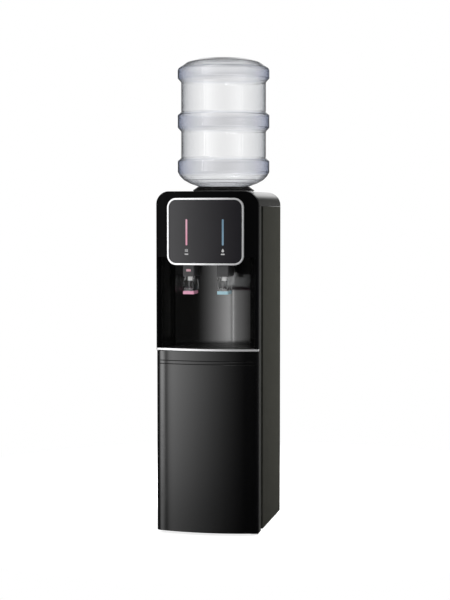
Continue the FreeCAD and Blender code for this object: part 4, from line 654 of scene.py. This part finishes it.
def clear_plastic(name, tint, rough=0.04, ior=1.49, depth=0.01, grain=300.0):
    """Clear moulded plastic with a trace of flow marks and handling. It casts no shadow on what it holds."""
    material, tree, out = new_material(name)
    grains = place_group(tree, fine_grain, Scale=grain)
    marked = place_group(tree, handling_marks, Amount=0.5)
    shader = tree.nodes.new("ShaderNodeBsdfPrincipled")
    tree.links.new(tint(tree, grains), shader.inputs["Base Color"])
    smeared = maths(tree, "MULTIPLY_ADD", marked.outputs["Mask"], CLEAR_MARKS_DULL, rough)
    tree.links.new(smeared, shader.inputs["Roughness"])
    shader.inputs["Transmission Weight"].default_value = 1.0
    shader.inputs["IOR"].default_value = ior
    raise_grain(tree, shader, grains.outputs["Height"], depth, FLOW_HEIGHT)
    ray = tree.nodes.new("ShaderNodeLightPath").outputs
    lighting = maths(tree, "ADD", ray["Is Shadow Ray"], ray["Is Diffuse Ray"], clamp=True)
    through = tree.nodes.new("ShaderNodeBsdfTransparent")
    mixed = mix_shaders(tree, lighting, shader, through)
    tree.links.new(mixed.outputs[0], out.inputs["Surface"])
    return material


acrylic = clear_plastic("moulded_acrylic", even_tint((0.96, 0.97, 0.97)), rough=0.03)
dress(acrylic, "hot_lever", "cold_lever")
print("dressed in", acrylic.name)

# %% Dress the taps
white_plastic = finish("white_plastic", (0.86, 0.86, 0.85), 0.25, grain=900, depth=0.02, tone=0.03, rub_and_highlight_to=1.1)
steel = finish("plain_steel", (0.55, 0.55, 0.56), 0.3, grain=800, depth=0.05, metal=1.0)
pink_band = finish("pink_band", (0.85, 0.4, 0.56), 0.25, grain=900, depth=0.03, tone=0.05, rub_and_highlight_to=1.2)
blue_band = finish("blue_band", (0.38, 0.6, 0.68), 0.25, grain=900, depth=0.03, tone=0.05, rub_and_highlight_to=1.2)
red_button = finish("red_button", (0.8, 0.46, 0.52), 0.3, grain=900, depth=0.03, rub_and_highlight_to=1.3)
tap_grey = finish("tap_graphite", (0.05, 0.05, 0.051), 0.35, grain=2500, depth=0.15)
dress(tap_grey, "hot_tap_housing", "cold_tap_housing")
dress(white_plastic, "tap_nozzles", "hot_plunger", "cold_plunger", "feed_probe", "drain_cap")
dress(pink_band, "hot_lever_bar")
dress(blue_band, "cold_lever_bar")
dress(red_button, "hot_lock_button")
dress(steel, "lever_pins", "lever_springs", "door_pivots", "catch_plate", "rear_screws", "cold_tank", "hot_tank",
      "heater_band")
print("finishes:", len(bpy.data.materials))

# %% [markdown]
# ## The bottle and its seat
#
# The bottle is blown from clear polycarbonate. We look through more plastic near its outline, so the tint deepens
# there, and the wall lies thicker in the three ridges, which look greyer and then blue. Ridges could be told apart by
# height, but their reach from the bottle's axis does it without a list of heights. The bottle stands upside down in a
# black seat with a grey ring under its rim.

# %% Dress the bottle and its seat
RIDGE_STEP = (0.0075, 0.001)    # where a ridge starts and where it is full, in from its outer face
WALL_TINTS = ((0.955, 0.957, 0.96, 1), (0.6, 0.625, 0.68, 1))    # seen square on, and at a glance
RIDGE_TINTS = ((0.8, 0.803, 0.82, 1), (0.33, 0.41, 0.66, 1))
SLANT_POWER = 1.6           # how late the tint deepens toward the outline


def bottle_tint(tree, _grains):
    """Tints the wall toward its outline, and the ridges, which reach furthest from the upright axis, more."""
    low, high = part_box("water_bottle")
    axis = ((low[0] + high[0]) / 2, (low[1] + high[1]) / 2, 0)
    from_axis = vector_maths(tree, "SUBTRACT", object_coords(tree), axis)["Vector"]
    level = vector_maths(tree, "MULTIPLY", from_axis, (1, 1, 0))["Vector"]
    reach = vector_maths(tree, "LENGTH", level)["Value"]
    outer = (high[0] - low[0]) / 2
    ridge = spread(tree, reach, outer - RIDGE_STEP[0], outer - RIDGE_STEP[1])
    glance = tree.nodes.new("ShaderNodeLayerWeight")
    glance.inputs["Blend"].default_value = 0.5
    slanted = maths(tree, "POWER", glance.outputs["Facing"], SLANT_POWER)
    wall_tint = blend_colours(tree, slanted, *WALL_TINTS)
    ridge_tint = blend_colours(tree, slanted, *RIDGE_TINTS)
    return blend_colours(tree, ridge, wall_tint, ridge_tint)


bottle_clear = clear_plastic("clear_polycarbonate", bottle_tint, rough=0.06, ior=1.45, depth=0.05, grain=60.0)
cap_blue = finish("soft_blue_cap", (0.1, 0.3, 0.65), 0.45, grain=900, depth=0.03)
seal_grey = finish("grey_seal", (0.22, 0.22, 0.22), 0.6, grain=1500, depth=0.15)
dress(bottle_clear, "water_bottle")
dress(cap_blue, "bottle_cap")
dress(fascia_black, "bottle_seat")
dress(seal_grey, "seat_gasket")
print("finishes:", len(bpy.data.materials))

# %% [markdown]
# ## The back and the inside
#
# The back carries the cooling rack, black enamelled pipe with a curtain of wires. The tanks, their foam and the
# compressor sit inside. Nobody sees those while the cooler stands closed, and they could stay grey. They get their
# finish all the same, because the pieces are also used one by one.

# %% Dress the back and the inside
black_enamel = finish("black_enamel", (0.012, 0.012, 0.012), 0.3, grain=1200, depth=0.12, rub_radius=0.0006)
compressor_paint = finish("compressor_paint", (0.012, 0.012, 0.012), 0.28, grain=260, depth=0.1, dust=0.6)
bare_copper = finish("bare_copper", (0.72, 0.36, 0.22), 0.3, grain=500, depth=0.05, tone=0.25, metal=1.0)
pale_foam = finish("pale_foam", (0.72, 0.64, 0.42), 0.9, grain=700, depth=0.6, rub=0.0)
black_rubber = finish("black_rubber", (0.016, 0.016, 0.016), 0.65, grain=1600, depth=0.25)
milky_silicone = finish("milky_silicone", (0.75, 0.75, 0.72), 0.4, grain=900, depth=0.05, rub_and_highlight_to=1.05,
                        Subsurface_Weight=0.3)
ferrite = finish("ferrite", (0.06, 0.05, 0.05), 0.7, grain=1200, depth=0.3)
switch_red = finish("switch_red", (0.55, 0.02, 0.02), 0.2, grain=900, depth=0.03)
switch_green = finish("switch_green", (0.02, 0.32, 0.08), 0.2, grain=900, depth=0.03)
dress(black_enamel, "condenser_coil", "condenser_wires")
dress(compressor_paint, "compressor")
dress(bare_copper, "refrigerant_lines")
dress(pale_foam, "tank_insulation")
dress(black_rubber, "rubber_feet", "compressor_grommets", "cord_gland")
dress(milky_silicone, "silicone_tubes", "drain_tube")
dress(ferrite, "catch_magnet")
dress(moulded_black, "switch_plate")
dress(switch_red, "hot_switch")
dress(switch_green, "cold_switch")
print("finishes:", len(bpy.data.materials))

# %% [markdown]
# ## The end
#

# %% Finish


print("the cooler is dressed")
